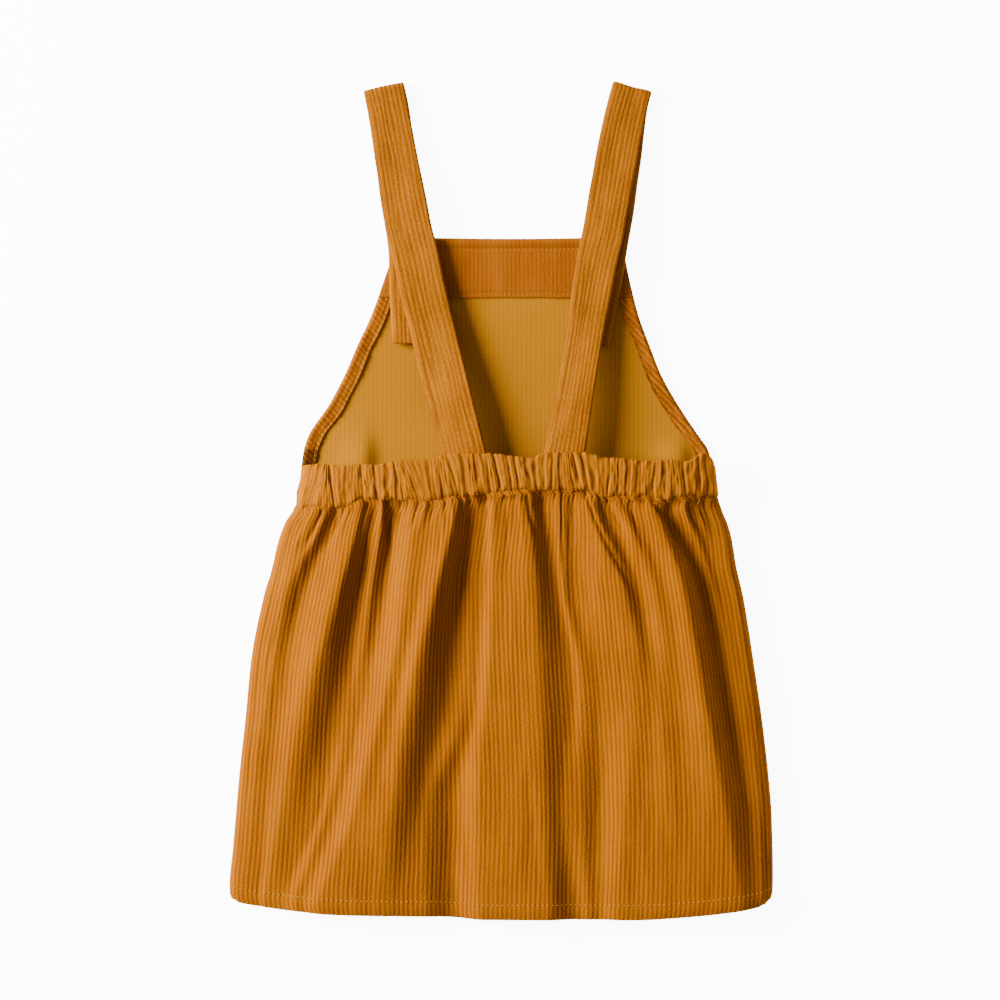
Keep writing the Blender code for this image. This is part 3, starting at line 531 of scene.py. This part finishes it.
SKIRT_ROWS = 94
skirt_columns = WALES * STEPS_PER_WALE + 1
skirt = np.zeros((SKIRT_ROWS, skirt_columns, 3))
shares = (np.arange(SKIRT_ROWS) / (SKIRT_ROWS - 1)) ** 1.3
for r, down in enumerate(shares):
    x, z = skirt_section(down, skirt_columns)
    across = (x - (x[0] + x[-1]) / 2) / ((x[-1] - x[0]) / 2)
    hem_y = through(across * HEM_LINE[-1][0], HEM_LINE)
    top_y = foot_line(x) + 0.5
    skirt[r] = np.stack((x, top_y + (hem_y - top_y) * down, z), axis=1)

wale = np.arange(skirt_columns) / STEPS_PER_WALE
below_waist = skirt[0, :, 1] - skirt[:, :, 1]
above_hem = skirt[:, :, 1] - skirt[-1, :, 1]
arches, slits = pleats(skirt[0, :, 0] - casing_flare(skirt[0, :, 0], 1.0))
waist_pleats = np.convolve(np.pad(arches + slits, 2, mode="edge"), np.full(5, 0.2), mode="valid")
inside_edges = np.clip(np.minimum(wale, WALES - wale) / 3.0, 0, 1)
relief = waist_pleats * np.exp(-(below_waist / 7.0) ** 2)
relief -= 0.5 * np.exp(-(below_waist / 1.1) ** 2)
relief += 0.5 * uneven(wale * 0.4, below_waist * 0.05, 11) * np.exp(-(below_waist / 30.0) ** 2)
relief += creases(skirt, CREASES)
relief += 0.22 * uneven(wale * 0.16, below_waist * 0.011 + 3, 12)
relief += 0.12 * uneven(wale * 0.9, below_waist * 0.05, 13)
relief -= 0.55 * np.exp(-((above_hem - HEM_STITCH) / 1.0) ** 2)
relief += 0.25 * np.exp(-((above_hem - HEM_STITCH / 2) / 4.0) ** 2)
relief += 0.2 * uneven(wale * 0.45, above_hem * 0.2, 14) * np.exp(-(above_hem / 11.0) ** 2)
relief -= 1.1 * np.exp(-(above_hem / 0.9) ** 2)
relief = relief * inside_edges
skirt_smooth = skirt + sheet_normals(skirt) * relief[:, :, None]
sway = wale[None, :] + 0.1 * uneven(wale * 0.8, below_waist * 0.06, 10)
cords = cord_relief(sway) * (1 + 0.4 * uneven(wale * 0.97, below_waist * 0.035, 15))
skirt_uv = np.stack((sway, -skirt[:, :, 1] / PILE_LENGTH), axis=2)

corduroy_skirt = corduroy("mustard_corduroy", "#804903", "#794202", "#683401")
corduroy_back = wrong_side("mustard_corduroy_back", "#8A5812", "#82510E")
back_skirt = cloth_piece("gathered_back_skirt", skirt_smooth, skirt_uv, SKIRT_CLOTH, cords,
                         (corduroy_skirt, corduroy_back))
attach(back_skirt, "root")
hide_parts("back_skirt")


def stitch_row(name, path, pitch, length, radius, material):
    """A row of sewn stitches: one small rounded length of thread after another along the path."""
    path = np.asarray(path, dtype=float)
    run = walked(path)
    bm = bmesh.new()
    for stop in np.arange(pitch / 2, run[-1], pitch):
        here, ahead = (Vector([np.interp(s, run, path[:, i]) for i in range(3)])
                       for s in (stop, min(stop + 0.3, run[-1])))
        along = (ahead - here).normalized()
        side = along.cross(Vector((0, 0, 1))).normalized()
        up = side.cross(along)
        turn = Matrix((along, side, up)).transposed().to_4x4()
        size = Matrix.Diagonal((length / 2, radius, radius * 0.8, 1.0))
        place = Matrix.Translation(here * MM) @ turn @ Matrix.Scale(MM, 4) @ size
        bmesh.ops.create_icosphere(bm, subdivisions=1, radius=1.0, matrix=place)
    row = new_object(name, bm, material)
    row.data.shade_smooth()
    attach(row, "root")


def cotton_thread(name, tone):
    """Matt twisted cotton sewing thread."""
    material, tree, _ = new_material(name, 0.85, 0.1)
    tint(tree, colour(tone), ranged(tree, body_noise(tree, 900.0, 1.0), 0.8, 1.2))
    return material


hem_thread = cotton_thread("mustard_thread", "#8C5A10")
hem_row = int(np.argmin(np.abs(above_hem[:, skirt_columns // 2] - HEM_STITCH)))
edge_run = skirt_smooth[-1] + (skirt_smooth[hem_row] - skirt_smooth[-1]) * (
    HEM_STITCH / above_hem[hem_row][:, None])
stitch_row("hem_stitches", edge_run[4:-4] + (0.0, 0.0, 0.1), 3.0, 2.2, 0.42, hem_thread)


# ---- Waist casing ----
# The channel that holds the elastic across the back waist, a turned-down double layer of the
# skirt's corduroy. The elastic draws it into about forty close gathers, and it is stitched along
# its foot. It is a closed tube whose outer face is puffed between sharp grooves.

CASING_TOP = ((-120.6, 21.0), (-108.6, 21.6), (-96.0, 20.7), (-84.6, 21.6), (-75.0, 21.3),
              (-67.5, 22.6), (-54.0, 24.3), (-42.0, 24.3), (-36.0, 26.6), (-23.8, 27.9),
              (-8.4, 28.0), (5.4, 26.6), (19.0, 25.4), (25.2, 28.2), (50.0, 28.6), (55.0, 27.3),
              (60.0, 25.8), (77.0, 24.9), (85.0, 23.6), (94.0, 24.0), (102.0, 24.3),
              (111.0, 23.3), (115.0, 25.2), (119.0, 28.0), (121.8, 28.5), (124.8, 27.0),
              (127.4, 23.8), (129.0, 20.0))
CASING_THICK = 3.2
CASING_DEPTH = 26.0
CASING_PUFF = 1.4
STITCH_SINK = 0.36        # the elastic's stitching is drawn in between the gathers
# places where a gather bulges over the stitching: (x, half width, height)
KNUCKLES = ((-91.0, 2.6, 0.9), (-77.0, 2.0, 0.9), (-70.0, 2.4, 1.0), (-42.6, 2.6, 0.9),
            (-28.5, 2.4, 0.7), (-13.8, 3.0, 1.1), (4.0, 3.4, 0.8), (14.0, 3.4, 1.0),
            (47.5, 2.2, 1.0), (73.0, 2.4, 0.8), (81.0, 3.6, 0.7), (99.5, 2.6, 0.9),
            (119.0, 2.6, 0.5))

foot_x = skirt[0, :, 0]
foot_x = foot_x - casing_flare(foot_x, 1.0)
foot_x = np.interp(foot_x, (foot_x[0], foot_x[-1]), CASING_ENDS)
gather_feet = [CASING_ENDS[0]] + [foot for _, foot, _ in GATHERS] + [CASING_ENDS[1]]
gather_tops = [CASING_ENDS[0]] + [top for top, _, _ in GATHERS] + [CASING_ENDS[1]]
top_x = np.interp(foot_x, gather_feet, gather_tops)
arches, slits = pleats(foot_x)


def casing_line(down):
    """Outer and inner points across the casing, `down` of the way from its top to its foot."""
    x = top_x + (foot_x - top_x) * down
    x = x + 0.9 * uneven(foot_x * 0.19, 1.5, 21) * math.sin(math.pi * down)
    x = x + 0.5 * uneven(foot_x * 0.23, down * 3.1, 24)
    mean = casing_height(x)
    x = x + casing_flare(x, down)
    fade = np.clip((mean - SIDE_FOOT) / 8.0, 0, 1)
    swell = CASING_PUFF * math.sin(math.pi * (0.12 + 0.82 * down))
    lively = 0.9 + 0.6 * uneven(foot_x * 0.3, down * 2.6 + 5, 22)
    rumple = 0.45 * uneven(foot_x * 0.5, down * 3.7, 23) + 0.25 * uneven(foot_x, down * 6.0, 25)
    gathering = 0.82 * arches + slits * (0.3 + 0.6 * math.sin(math.pi * down))
    from_foot = (1 - down) * CASING_DEPTH
    outer = mean + fade * (swell + gathering * lively + rumple)
    outer = outer - 1.1 * math.exp(-(from_foot / 1.5) ** 2)
    for knuckle, reach, rise in KNUCKLES:
        outer += rise * np.exp(-((x - knuckle) / reach) ** 2 - ((1 - down) / 0.2) ** 2)
    inner = np.maximum(mean - CASING_THICK, SIDE_FOOT)
    outer = np.maximum(outer, inner + 1.0)
    top_y = through(x, CASING_TOP) + fade * (0.55 * arches + 0.2 * slits + 0.4 * rumple)
    y = top_y * (1 - down) + foot_line(x) * down
    return x, y, outer, inner


rows = []
for down in np.linspace(0.96, 0.04, 5):
    x, y, outer, inner = casing_line(down)
    rows.append(np.stack((x, y, inner), axis=1))
x, y, outer, inner = casing_line(0.0)
for angle in np.linspace(-math.pi / 2, math.pi / 2, 9)[:-1]:
    rows.append(np.stack((x, y - 1.1 + 1.1 * math.cos(angle),
                          (outer + inner) / 2 + (outer - inner) / 2 * math.sin(angle)), axis=1))
for down in np.linspace(0.045, 0.965, 22):
    x, y, outer, inner = casing_line(down)
    rows.append(np.stack((x, y, outer), axis=1))
x, y, outer, inner = casing_line(1.0)
for angle in np.linspace(math.pi / 2, -math.pi / 2, 7)[1:]:
    rows.append(np.stack((x, y + 0.1 - 0.4 * math.cos(angle),
                          (outer + inner) / 2 + (outer - inner) / 2 * math.sin(angle)), axis=1))
rows.append(rows[0])
casing = np.stack(rows)
length = np.linalg.norm(np.diff(casing, axis=0), axis=2).mean(axis=1)
length = np.concatenate(([0.0], np.cumsum(length)))
casing_uv = np.stack(np.broadcast_arrays(wale[None, :], length[:, None] / PILE_LENGTH), axis=2)
casing_cords = 0.62 * cord_relief(wale)[None, :] * np.ones((len(rows), 1))
corduroy_casing = corduroy("mustard_corduroy_gathered", "#874F06", "#7F4805", "#6C3803")
waist_casing = cloth_piece("elasticated_waist_casing", casing, casing_uv, 0.0, casing_cords,
                           (corduroy_casing,), closed=True)
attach(waist_casing, "root")
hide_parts("back_casing")

x, y, outer, inner = casing_line(0.95)
foot_path = np.stack((x, y, outer - STITCH_SINK), axis=1)
stitch_row("casing_stitches", foot_path[6:-6], 2.6, 1.6, 0.22, hem_thread)


# ---- Front panel ----
# The flat front of the skirt and the bib, cut in one piece of corduroy. It lies face down with its
# plain woven back up, and its bib tapers to a straight top held up by the two buttons under it.
# It is a thin sheet whose cords are on the underside.

CLOTH = 1.6
BIB_LIFT = 3.3
LIFT_FROM_Y = 48.0
LIFT_TO_Y = 118.0
FRONT_WALE = 2.8
FRONT_ROWS = 150
FRONT_COLUMNS = 141
FRONT_HEM_Y = -241.0
BIB_TOP_Y = 157.8
BIB_LEFT = ((157.8, -61.8), (138.0, -68.4), (111.0, -78.0), (93.0, -86.4), (75.0, -94.2),
            (57.0, -103.8), (39.0, -115.8), (30.0, -118.8), (12.0, -121.2))
BIB_RIGHT = ((157.8, 72.6), (138.0, 76.2), (111.0, 82.8), (93.0, 89.4), (75.0, 96.6),
             (57.0, 106.8), (39.0, 118.8), (30.0, 124.8), (12.0, 129.0))
# soft dents where the bib goes under the casing: (x, y, reach along y, height)
BIB_DENTS = ((-83.0, 24.0, 15.0, 3.6), (106.5, 25.0, 10.0, 3.2))


def bib_lift(y):
    """How far the bib's underside is raised by the buttons below it."""
    t = np.clip((y - LIFT_FROM_Y) / (LIFT_TO_Y - LIFT_FROM_Y), 0, 1)
    return BIB_LIFT * t * t * (3 - 2 * t)


front = np.zeros((FRONT_ROWS, FRONT_COLUMNS, 3))
across = np.linspace(-1, 1, FRONT_COLUMNS)
for r, y in enumerate(np.linspace(FRONT_HEM_Y, BIB_TOP_Y - 1.4, FRONT_ROWS)):
    left, right = (through(y, BIB_LEFT), through(y, BIB_RIGHT)) if y > 12.0 else (
        through(y, SKIRT_LEFT) + 0.4, through(y, SKIRT_RIGHT) - 0.4)
    x = (left + right) / 2 + across * (right - left) / 2
    hem = (HEM_MIDDLE_Y + 1.6 + (HEM_RISE - 0.6) * np.abs(across) ** 4 - FRONT_HEM_Y) * (
        np.clip((-150.0 - y) / 91.0, 0, 1))
    top = 1.2 * (across ** 2 - 1) * np.clip((y - 120.0) / 36.0, 0, 1)
    rise = np.clip((y - 12.0) / 60.0, 0, 1) * (0.3 + 0.3 * uneven(x * 0.04, y * 0.025, 31))
    for dent_x, dent_y, reach, tall in BIB_DENTS:
        width = np.where(x < dent_x, 14.0, 6.4)
        rise = rise + tall * np.exp(-((x - dent_x) / width) ** 2 - ((y - dent_y) / reach) ** 2)
    front[r] = np.stack((x, y + hem + top, bib_lift(y) + rise), axis=1)
front_uv = np.stack((front[:, :, 0] / FRONT_WALE, front[:, :, 1] / FRONT_WALE), axis=2)
corduroy_front = corduroy("mustard_corduroy_front", "#804903", "#794202", "#683401")
bib_back = wrong_side("mustard_corduroy_bib_back", "#8C5A07", "#835105")
front_panel = cloth_piece("front_skirt_and_bib", front, front_uv, CLOTH,
                          np.zeros((FRONT_ROWS, FRONT_COLUMNS)), (corduroy_front, bib_back))
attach(front_panel, "root")
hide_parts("front_panel")


# ---- Bib facing ----
# The strip that finishes the bib's straight top. It is sewn along the edge, turned over it to the
# inside and stitched down with one row below the rolled edge and one along its own foot.

FACING_FOOT_Y = 121.8
FACING_CLOTH = 1.3
FACING_WALE = 2.5
FACING_ROWS = 46
FACING_COLUMNS = 113

facing = np.zeros((FACING_ROWS, FACING_COLUMNS, 3))
across = np.linspace(-1, 1, FACING_COLUMNS)
for r, down in enumerate(np.linspace(0, 1, FACING_ROWS)):
    y = BIB_TOP_Y + 0.6 + (FACING_FOOT_Y - BIB_TOP_Y - 0.6) * down ** 1.25
    left, right = through(y, BIB_LEFT), through(y, BIB_RIGHT)
    x = (left + right) / 2 + across * ((right - left) / 2 - 0.2)
    from_top = BIB_TOP_Y + 0.6 - y
    from_side = np.minimum(x - left, right - x)
    roll = np.sqrt(1 - (1 - np.clip(from_top / 2.2, 0, 1)) ** 2)
    turned = np.sqrt(1 - (1 - np.clip((from_side + 0.3) / 1.6, 0, 1)) ** 2)
    height = 3.5 + 0.9 * math.exp(-((from_top - 3.0) / 2.2) ** 2)
    height -= 0.55 * math.exp(-((from_top - 6.6) / 0.8) ** 2)
    height -= 0.5 * math.exp(-((y - FACING_FOOT_Y - 2.4) / 0.8) ** 2)
    height += 0.22 * uneven(x * 0.06, y * 0.07, 41)
    z = bib_lift(y) + 0.6 + (height - 0.6) * roll * (0.35 + 0.65 * turned)
    y = y + 1.2 * (across ** 2 - 1) * (1 - down) + 0.25 * uneven(x * 0.09, 0.0, 42) * down
    facing[r] = np.stack((x, np.broadcast_to(y, x.shape), z), axis=1)
facing_uv = np.stack((facing[:, :, 0] / FACING_WALE, facing[:, :, 1] / FACING_WALE), axis=2)
corduroy_facing = corduroy("mustard_corduroy_facing", "#7C4309", "#784008", "#6F3906")
bib_facing = cloth_piece("bib_top_facing", facing, facing_uv, FACING_CLOTH,
                         np.zeros((FACING_ROWS, FACING_COLUMNS)), (corduroy_facing,))
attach(bib_facing, "root")
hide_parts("bib_facing")


def facing_stitches(name, y):
    """A stitch row across the bib facing at height y."""
    row = int(np.argmin(np.abs(facing[:, FACING_COLUMNS // 2, 1] - y)))
    stitch_row(name, facing[row, 3:-3] + (0.0, 0.0, 0.05), 2.7, 1.8, 0.24, hem_thread)


facing_stitches("facing_top_stitches", 150.6)
facing_stitches("facing_foot_stitches", 123.4)


# ---- Armhole facings ----
# Two narrow strips cut on the bias, so that they lie flat along the bib's curved sides. Each is
# sewn to the edge, turned to the inside and stitched near its inner edge.

ARM_FACING_WIDTH = 8.4
# painted shade: below this height the left facing's foot takes a much darker corduroy for the
# shade on its turned-back corner
PAINTED_SHADE_BELOW_Y = 31.0     # the left one's foot shows its shaded turned-back corner
ARM_ROWS = 96
ARM_COLUMNS = 15
corduroy_bias = corduroy("mustard_corduroy_bias", "#844909", "#7B4307", "#6B3705", nap=0.3)
# painted shade: a much darker copy of the corduroy, standing for the shade on the turned-back
# corner
painted_shade_corner = corduroy("mustard_corduroy_painted_shade", "#55300C", "#4C2A0A", "#3E2108")
for label, side, foot_y in (("left", 0, 19.5), ("right", 1, 24.0)):
    strip = np.zeros((ARM_ROWS, ARM_COLUMNS, 3))
    stitch_path = []
    for r, y in enumerate(np.linspace(FACING_FOOT_Y - 0.3, foot_y, ARM_ROWS)):
        outline = (BIB_LEFT, BIB_RIGHT)[side]
        edge, nearby = float(through(y, outline)), float(through(y - 3.0, outline))
        reach = ARM_FACING_WIDTH * min(math.hypot(3.0, nearby - edge) / 3.0, 1.3)
        reach += 0.3 * float(uneven(y * 0.11, 0.0, 51 + side))
        inward = np.linspace(0, 1, ARM_COLUMNS) ** 1.2
        x = edge + inward * reach if side == 0 else edge - inward[::-1] * reach
        inward = inward if side == 0 else inward[::-1]
        turned = np.sqrt(1 - (1 - np.clip((inward * reach + 0.2) / 2.0, 0, 1)) ** 2)
        height = 3.3 + 0.55 * np.exp(-((inward * reach - 2.4) / 1.6) ** 2)
        height = height - 0.5 * np.exp(-((inward * reach - reach + 1.7) / 0.6) ** 2)
        height = height + 0.35 * uneven(x * 0.35 + y * 0.2, y * 0.35, 53 + side)
        height = height - 1.2 * max(0.0, (foot_y + 4.0 - y) / 4.0)
        strip[r] = np.stack((x, np.full(ARM_COLUMNS, y),
                             bib_lift(y) + 0.5 + (height - 0.5) * turned), axis=1)
        column = 12 if side == 0 else 2
        stitch_path.append(strip[r, column] + (0.0, 0.0, 0.05))
    strip_uv = np.stack(((strip[:, :, 0] + strip[:, :, 1]) / 4.0,
                         (strip[:, :, 1] - strip[:, :, 0]) / 3.8), axis=2)
    armhole = cloth_piece(f"armhole_facing_{label}_bias", strip, strip_uv, FACING_CLOTH,
                          np.zeros((ARM_ROWS, ARM_COLUMNS)), (corduroy_bias, painted_shade_corner))
    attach(armhole, "root")
    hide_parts(f"armhole_facing_{label}")
    # painted shade: faces below an uneven line near the left foot take the darker painted-shade
    # corduroy
    if side == 0:
        for face in armhole.data.polygons:
            at = face.center / MM
            if at.y + 1.2 * float(uneven(at.x * 0.4, at.y * 0.4, 55)) < PAINTED_SHADE_BELOW_Y:
                face.material_index = 1
    stitch_row(f"armhole_stitches_{label}", stitch_path, 2.7, 1.8, 0.22, hem_thread)


# ---- Straps ----
# Two double-layer straps with nine cords running along each. Each is caught under the casing at
# the back waist, runs up over the shoulder, folds over and comes down behind the bib to the tail
# that its button holds.

STRAP_THICK = 3.0
STRAP_WALES = 9
RUN_STATIONS = 110
FOLD_STATIONS = 12
BACK_RUN_LEFT = ((-70.2, 245.9, 24.2), (-68.4, 237.0, 24.2), (-64.2, 213.0, 25.0),
                 (-59.4, 186.0, 26.0), (-55.8, 165.0, 26.7), (-51.6, 148.2, 26.7),
                 (-46.5, 125.4, 26.7), (-39.0, 94.2, 26.7), (-22.8, 27.0, 26.7),
                 (-20.1, 15.6, 26.7))
BACK_RUN_RIGHT = ((78.3, 245.9, 24.2), (75.9, 237.0, 24.2), (71.1, 216.0, 24.0),
                  (65.7, 186.0, 24.0), (61.5, 162.0, 23.8), (57.6, 144.0, 23.0),
                  (53.4, 120.0, 22.0), (49.5, 94.2, 21.5), (43.8, 60.0, 22.0),
                  (38.4, 30.0, 23.8), (36.0, 15.6, 24.0))
FRONT_RUN_LEFT = ((-70.2, 245.9, 24.2), (-68.4, 237.0, 24.2), (-62.4, 198.0, 24.2),
                  (-55.5, 150.0, 24.2), (-52.8, 94.2, 24.2))
FRONT_RUN_RIGHT = ((78.3, 245.9, 24.2), (76.2, 237.0, 24.2), (70.5, 198.0, 24.2),
                   (63.3, 150.0, 24.2), (52.2, 94.2, 24.2))
BACK_RUN_HEIGHT = ((15.6, 16.1), (27.0, 16.1), (94.2, 14.6), (120.0, 13.8), (165.0, 12.3),
                   (204.0, 7.7), (245.9, 4.8))
FRONT_RUN_HEIGHT = ((94.2, 8.6), (165.0, 8.6), (204.0, 3.5), (237.0, 1.5), (245.9, 1.5))


def run_frames(run, heights, count):
    """Stations down a strap's run: middle point, half-width vector and upward normal."""
    table = np.asarray(run, dtype=float)
    y = np.linspace(table[0, 1], table[-1, 1], count)
    x = through(y, table[:, (1, 0)])
    width = through(y, table[:, (1, 2)])
    middle = np.stack((x, y, through(y, heights)), axis=1)
    along = np.gradient(middle, axis=0)
    along /= np.linalg.norm(along, axis=1, keepdims=True)
    sideways = np.stack((-along[:, 1], along[:, 0], np.zeros(count)), axis=1)
    sideways /= np.linalg.norm(sideways, axis=1, keepdims=True)
    return middle, sideways * width[:, None] / 2, np.cross(along, sideways)


def strap_stations(back_run, front_run):
    """Stations from the tail, up the front run, over the shoulder and down the back run."""
    front_frames = run_frames(front_run, FRONT_RUN_HEIGHT, RUN_STATIONS)
    back_frames = run_frames(back_run, BACK_RUN_HEIGHT, RUN_STATIONS)
    found = [(middle, side, -normal) for middle, side, normal in zip(*front_frames)][::-1]
    centre = (front_frames[0][0] + back_frames[0][0]) / 2
    side = back_frames[1][0]
    reach = np.cross((0, 0, 1), side)
    reach /= np.linalg.norm(reach)
    radius = (back_frames[0][0][2] - front_frames[0][0][2]) / 2
    for k in range(1, FOLD_STATIONS):
        angle = math.pi * k / FOLD_STATIONS
        outward = math.sin(angle) * reach - math.cos(angle) * np.array((0.0, 0.0, 1.0))
        found.append((centre + outward * radius, side, outward))
    return found + list(zip(*back_frames))


corduroy_strap = corduroy("mustard_corduroy_strap", "#864E08", "#7D4706", "#6B3A04",
                          nap=0.3, worn=0.75)
face_steps = STRAP_WALES * STEPS_PER_WALE
for label, back_run, front_run in (("left", BACK_RUN_LEFT, FRONT_RUN_LEFT),
                                   ("right", BACK_RUN_RIGHT, FRONT_RUN_RIGHT)):
    seed = 61 if label == "left" else 62
    stations = strap_stations(back_run, front_run)
    middles = np.array([middle for middle, _, _ in stations])
    length = walked(middles)
    face = np.linspace(-1, 1, face_steps + 1)
    lean = np.concatenate((face, [1.012, 1.016, 1.012], face[::-1], [-1.012, -1.016, -1.012, -1]))
    full = np.clip((1 - np.abs(face)) / 0.07, 0, 1)
    crown = 0.62 + 0.38 * np.sqrt(1 - (1 - full) ** 2)
    level = np.concatenate((crown, [0.3, 0.0, -0.3], -crown[::-1], [-0.3, 0.0, 0.3, crown[0]]))
    cord = np.concatenate((np.linspace(0, STRAP_WALES, face_steps + 1), [STRAP_WALES] * 3,
                           np.linspace(STRAP_WALES, 0, face_steps + 1), [0.0] * 4))
    band = np.zeros((len(stations), len(lean), 3))
    for r, (middle, side, outward) in enumerate(stations):
        at_end = min(length[r], length[-1] - length[r])
        end = 0.7 + 0.3 * math.sqrt(1 - (1 - min(at_end / 1.2, 1)) ** 2)
        wobble = 0.35 * uneven(length[r] * 0.035, 2.0 * np.sign(lean), seed)
        swell = 0.3 * uneven(length[r] * 0.05, lean * 1.2, seed + 2)
        width = np.linalg.norm(side)
        band[r] = (middle + np.outer(lean + wobble * (np.abs(lean) / width), side)
                   + np.outer(level * STRAP_THICK / 2 * end + swell * np.abs(level), outward))
    free = np.clip(np.minimum(cord, STRAP_WALES - cord) / 1.5, 0, 1)[None, :]
    sway = cord[None, :] - 0.5 + 0.3 * free * uneven(cord[None, :] * 0.5, length[:, None] * 0.045,
                                                     seed + 4)
    relief = cord_relief(sway) * (0.85 + 0.5 * uneven(cord[None, :] * 0.9,
                                                       length[:, None] * 0.06, seed + 6))
    band_uv = np.stack(np.broadcast_arrays(sway, length[:, None] / PILE_LENGTH), axis=2)
    strap = cloth_piece(f"shoulder_strap_{label}", band[:, ::-1], band_uv[:, ::-1], 0.0,
                        relief[:, ::-1], (corduroy_strap,), closed=True)
    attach(strap, "root")
    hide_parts(f"strap_{label}")


# ---- Buttons ----
# Two round four-hole resin buttons, 16 mm across, sewn to the bib's right side under the strap
# tails that they hold. Each is turned to a shallow dish with a raised rim.

BUTTON_Y = 140.4
BUTTONS_X = (-55.2, 64.2)
resin, tree, shader = new_material("tortoiseshell_resin", 0.3)
blend = add_node(tree, "ShaderNodeValToRGB", {"Fac": body_noise(tree, 260.0)})
blend.color_ramp.elements[0].color = colour("#3A2110")
blend.color_ramp.elements[1].color = colour("#8A5A2A")
tree.links.new(blend.outputs["Color"], shader.inputs["Base Color"])
for label, button_x in zip(("left", "right"), BUTTONS_X):
    bm = bmesh.new()
    profile = ((0.0, 0.9), (4.6, 0.9), (5.4, 0.45), (6.6, 0.15), (7.5, 0.25), (8.0, 0.8),
               (8.0, 2.2), (7.5, 2.8), (6.6, 3.0), (0.0, 3.0))
    points = [bm.verts.new((radius * MM, 0.0, height * MM)) for radius, height in profile]
    edges = [bm.edges.new(pair) for pair in zip(points, points[1:])]
    bmesh.ops.spin(bm, geom=points + edges, cent=(0, 0, 0), axis=(0, 0, 1), angle=2 * math.pi,
                   steps=48, use_merge=True)
    bmesh.ops.remove_doubles(bm, verts=bm.verts, dist=1e-6)
    bmesh.ops.recalc_face_normals(bm, faces=bm.faces)
    disc = new_object(f"button_{label}_disc", bm)
    bm = bmesh.new()
    for hole_x, hole_y in ((-1.5, -1.5), (1.5, -1.5), (1.5, 1.5), (-1.5, 1.5)):
        bmesh.ops.create_cone(bm, cap_ends=True, segments=16, radius1=0.8 * MM,
                              radius2=0.8 * MM, depth=8 * MM,
                              matrix=Matrix.Translation((hole_x * MM, hole_y * MM, 0)))
    drill = new_object("drill", bm)
    holes = disc.modifiers.new("holes", "BOOLEAN")
    holes.object = drill
    holes.operation = "DIFFERENCE"
    mesh = bpy.data.meshes.new_from_object(
        disc.evaluated_get(bpy.context.evaluated_depsgraph_get()))
    disc.modifiers.clear()
    disc.data = mesh
    bpy.data.objects.remove(drill, do_unlink=True)
    mesh.transform(Matrix.Translation((button_x * MM, BUTTON_Y * MM, 0)))
    mesh.materials.clear()
    mesh.materials.append(resin)
    mesh.shade_smooth()
    mesh.set_sharp_from_angle(angle=math.radians(40))
    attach(disc, "root")
    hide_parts(f"button_{label}")
    crossing = [(button_x - 1.5, BUTTON_Y - 1.5, 0.8), (button_x + 1.5, BUTTON_Y + 1.5, 0.8)]
    stitch_row(f"button_{label}_thread_a", crossing, 4.2, 4.0, 0.4, hem_thread)
    crossing = [(button_x - 1.5, BUTTON_Y + 1.5, 0.7), (button_x + 1.5, BUTTON_Y - 1.5, 0.7)]
    stitch_row(f"button_{label}_thread_b", crossing, 4.2, 4.0, 0.4, hem_thread)


# ---- Stage, lights and camera ----
# A plain white floor, a large soft key light low on the left, pale surroundings as fill, and a
# camera straight above the dress.

FLOOR_DROP = 0.0004       # keeps the floor clear of the cloth that lies on it

white, tree, shader = new_material("white_paper", 0.95)
grain = add_node(tree, "ShaderNodeTexNoise", {"Scale": 400.0, "Detail": 2.0}).outputs["Fac"]
tint(tree, colour("#F7F7F7"), ranged(tree, grain, 0.985, 1.0))
# the paper looks burnt out, but gives the cloth only a soft glow
seen = add_node(tree, "ShaderNodeLightPath", {}).outputs["Is Camera Ray"]
tree.links.new(ranged(tree, seen, 3.2, 9.5), shader.inputs["Emission Strength"])
bm = bmesh.new()
bmesh.ops.create_grid(bm, x_segments=1, y_segments=1, size=3.0)
floor = new_object("floor", bm, white)
floor.data.transform(Matrix.Translation((0, 0, -FLOOR_DROP)))

world = bpy.data.worlds.new("pale_studio")
world.use_nodes = True
world.node_tree.nodes["Background"].inputs["Color"].default_value = (1.0, 0.955, 0.91, 1.0)
world.node_tree.nodes["Background"].inputs["Strength"].default_value = 0.62
bpy.context.scene.world = world

KEY_DISTANCE = 2.4
key_from = Vector((-0.84, 0.22, 0.49)).normalized() * KEY_DISTANCE
key_light = bpy.data.lights.new("key", "AREA")
key_light.shape = "DISK"
key_light.size = 1.3
key_light.energy = 330.0
key = bpy.data.objects.new("key", key_light)
key.location = key_from
key.rotation_euler = (-key_from).to_track_quat("-Z", "Y").to_euler()
bpy.context.collection.objects.link(key)

CAMERA_DISTANCE = 2.4
VIEW_WIDTH = 0.6
lens = bpy.data.cameras.new("overhead")
lens.sensor_width = 36.0
lens.lens = 36.0 * (CAMERA_DISTANCE - 0.01) / VIEW_WIDTH
camera = bpy.data.objects.new("overhead", lens)
camera.location = (-0.0006, 0.0, CAMERA_DISTANCE)
bpy.context.collection.objects.link(camera)
bpy.context.scene.camera = camera
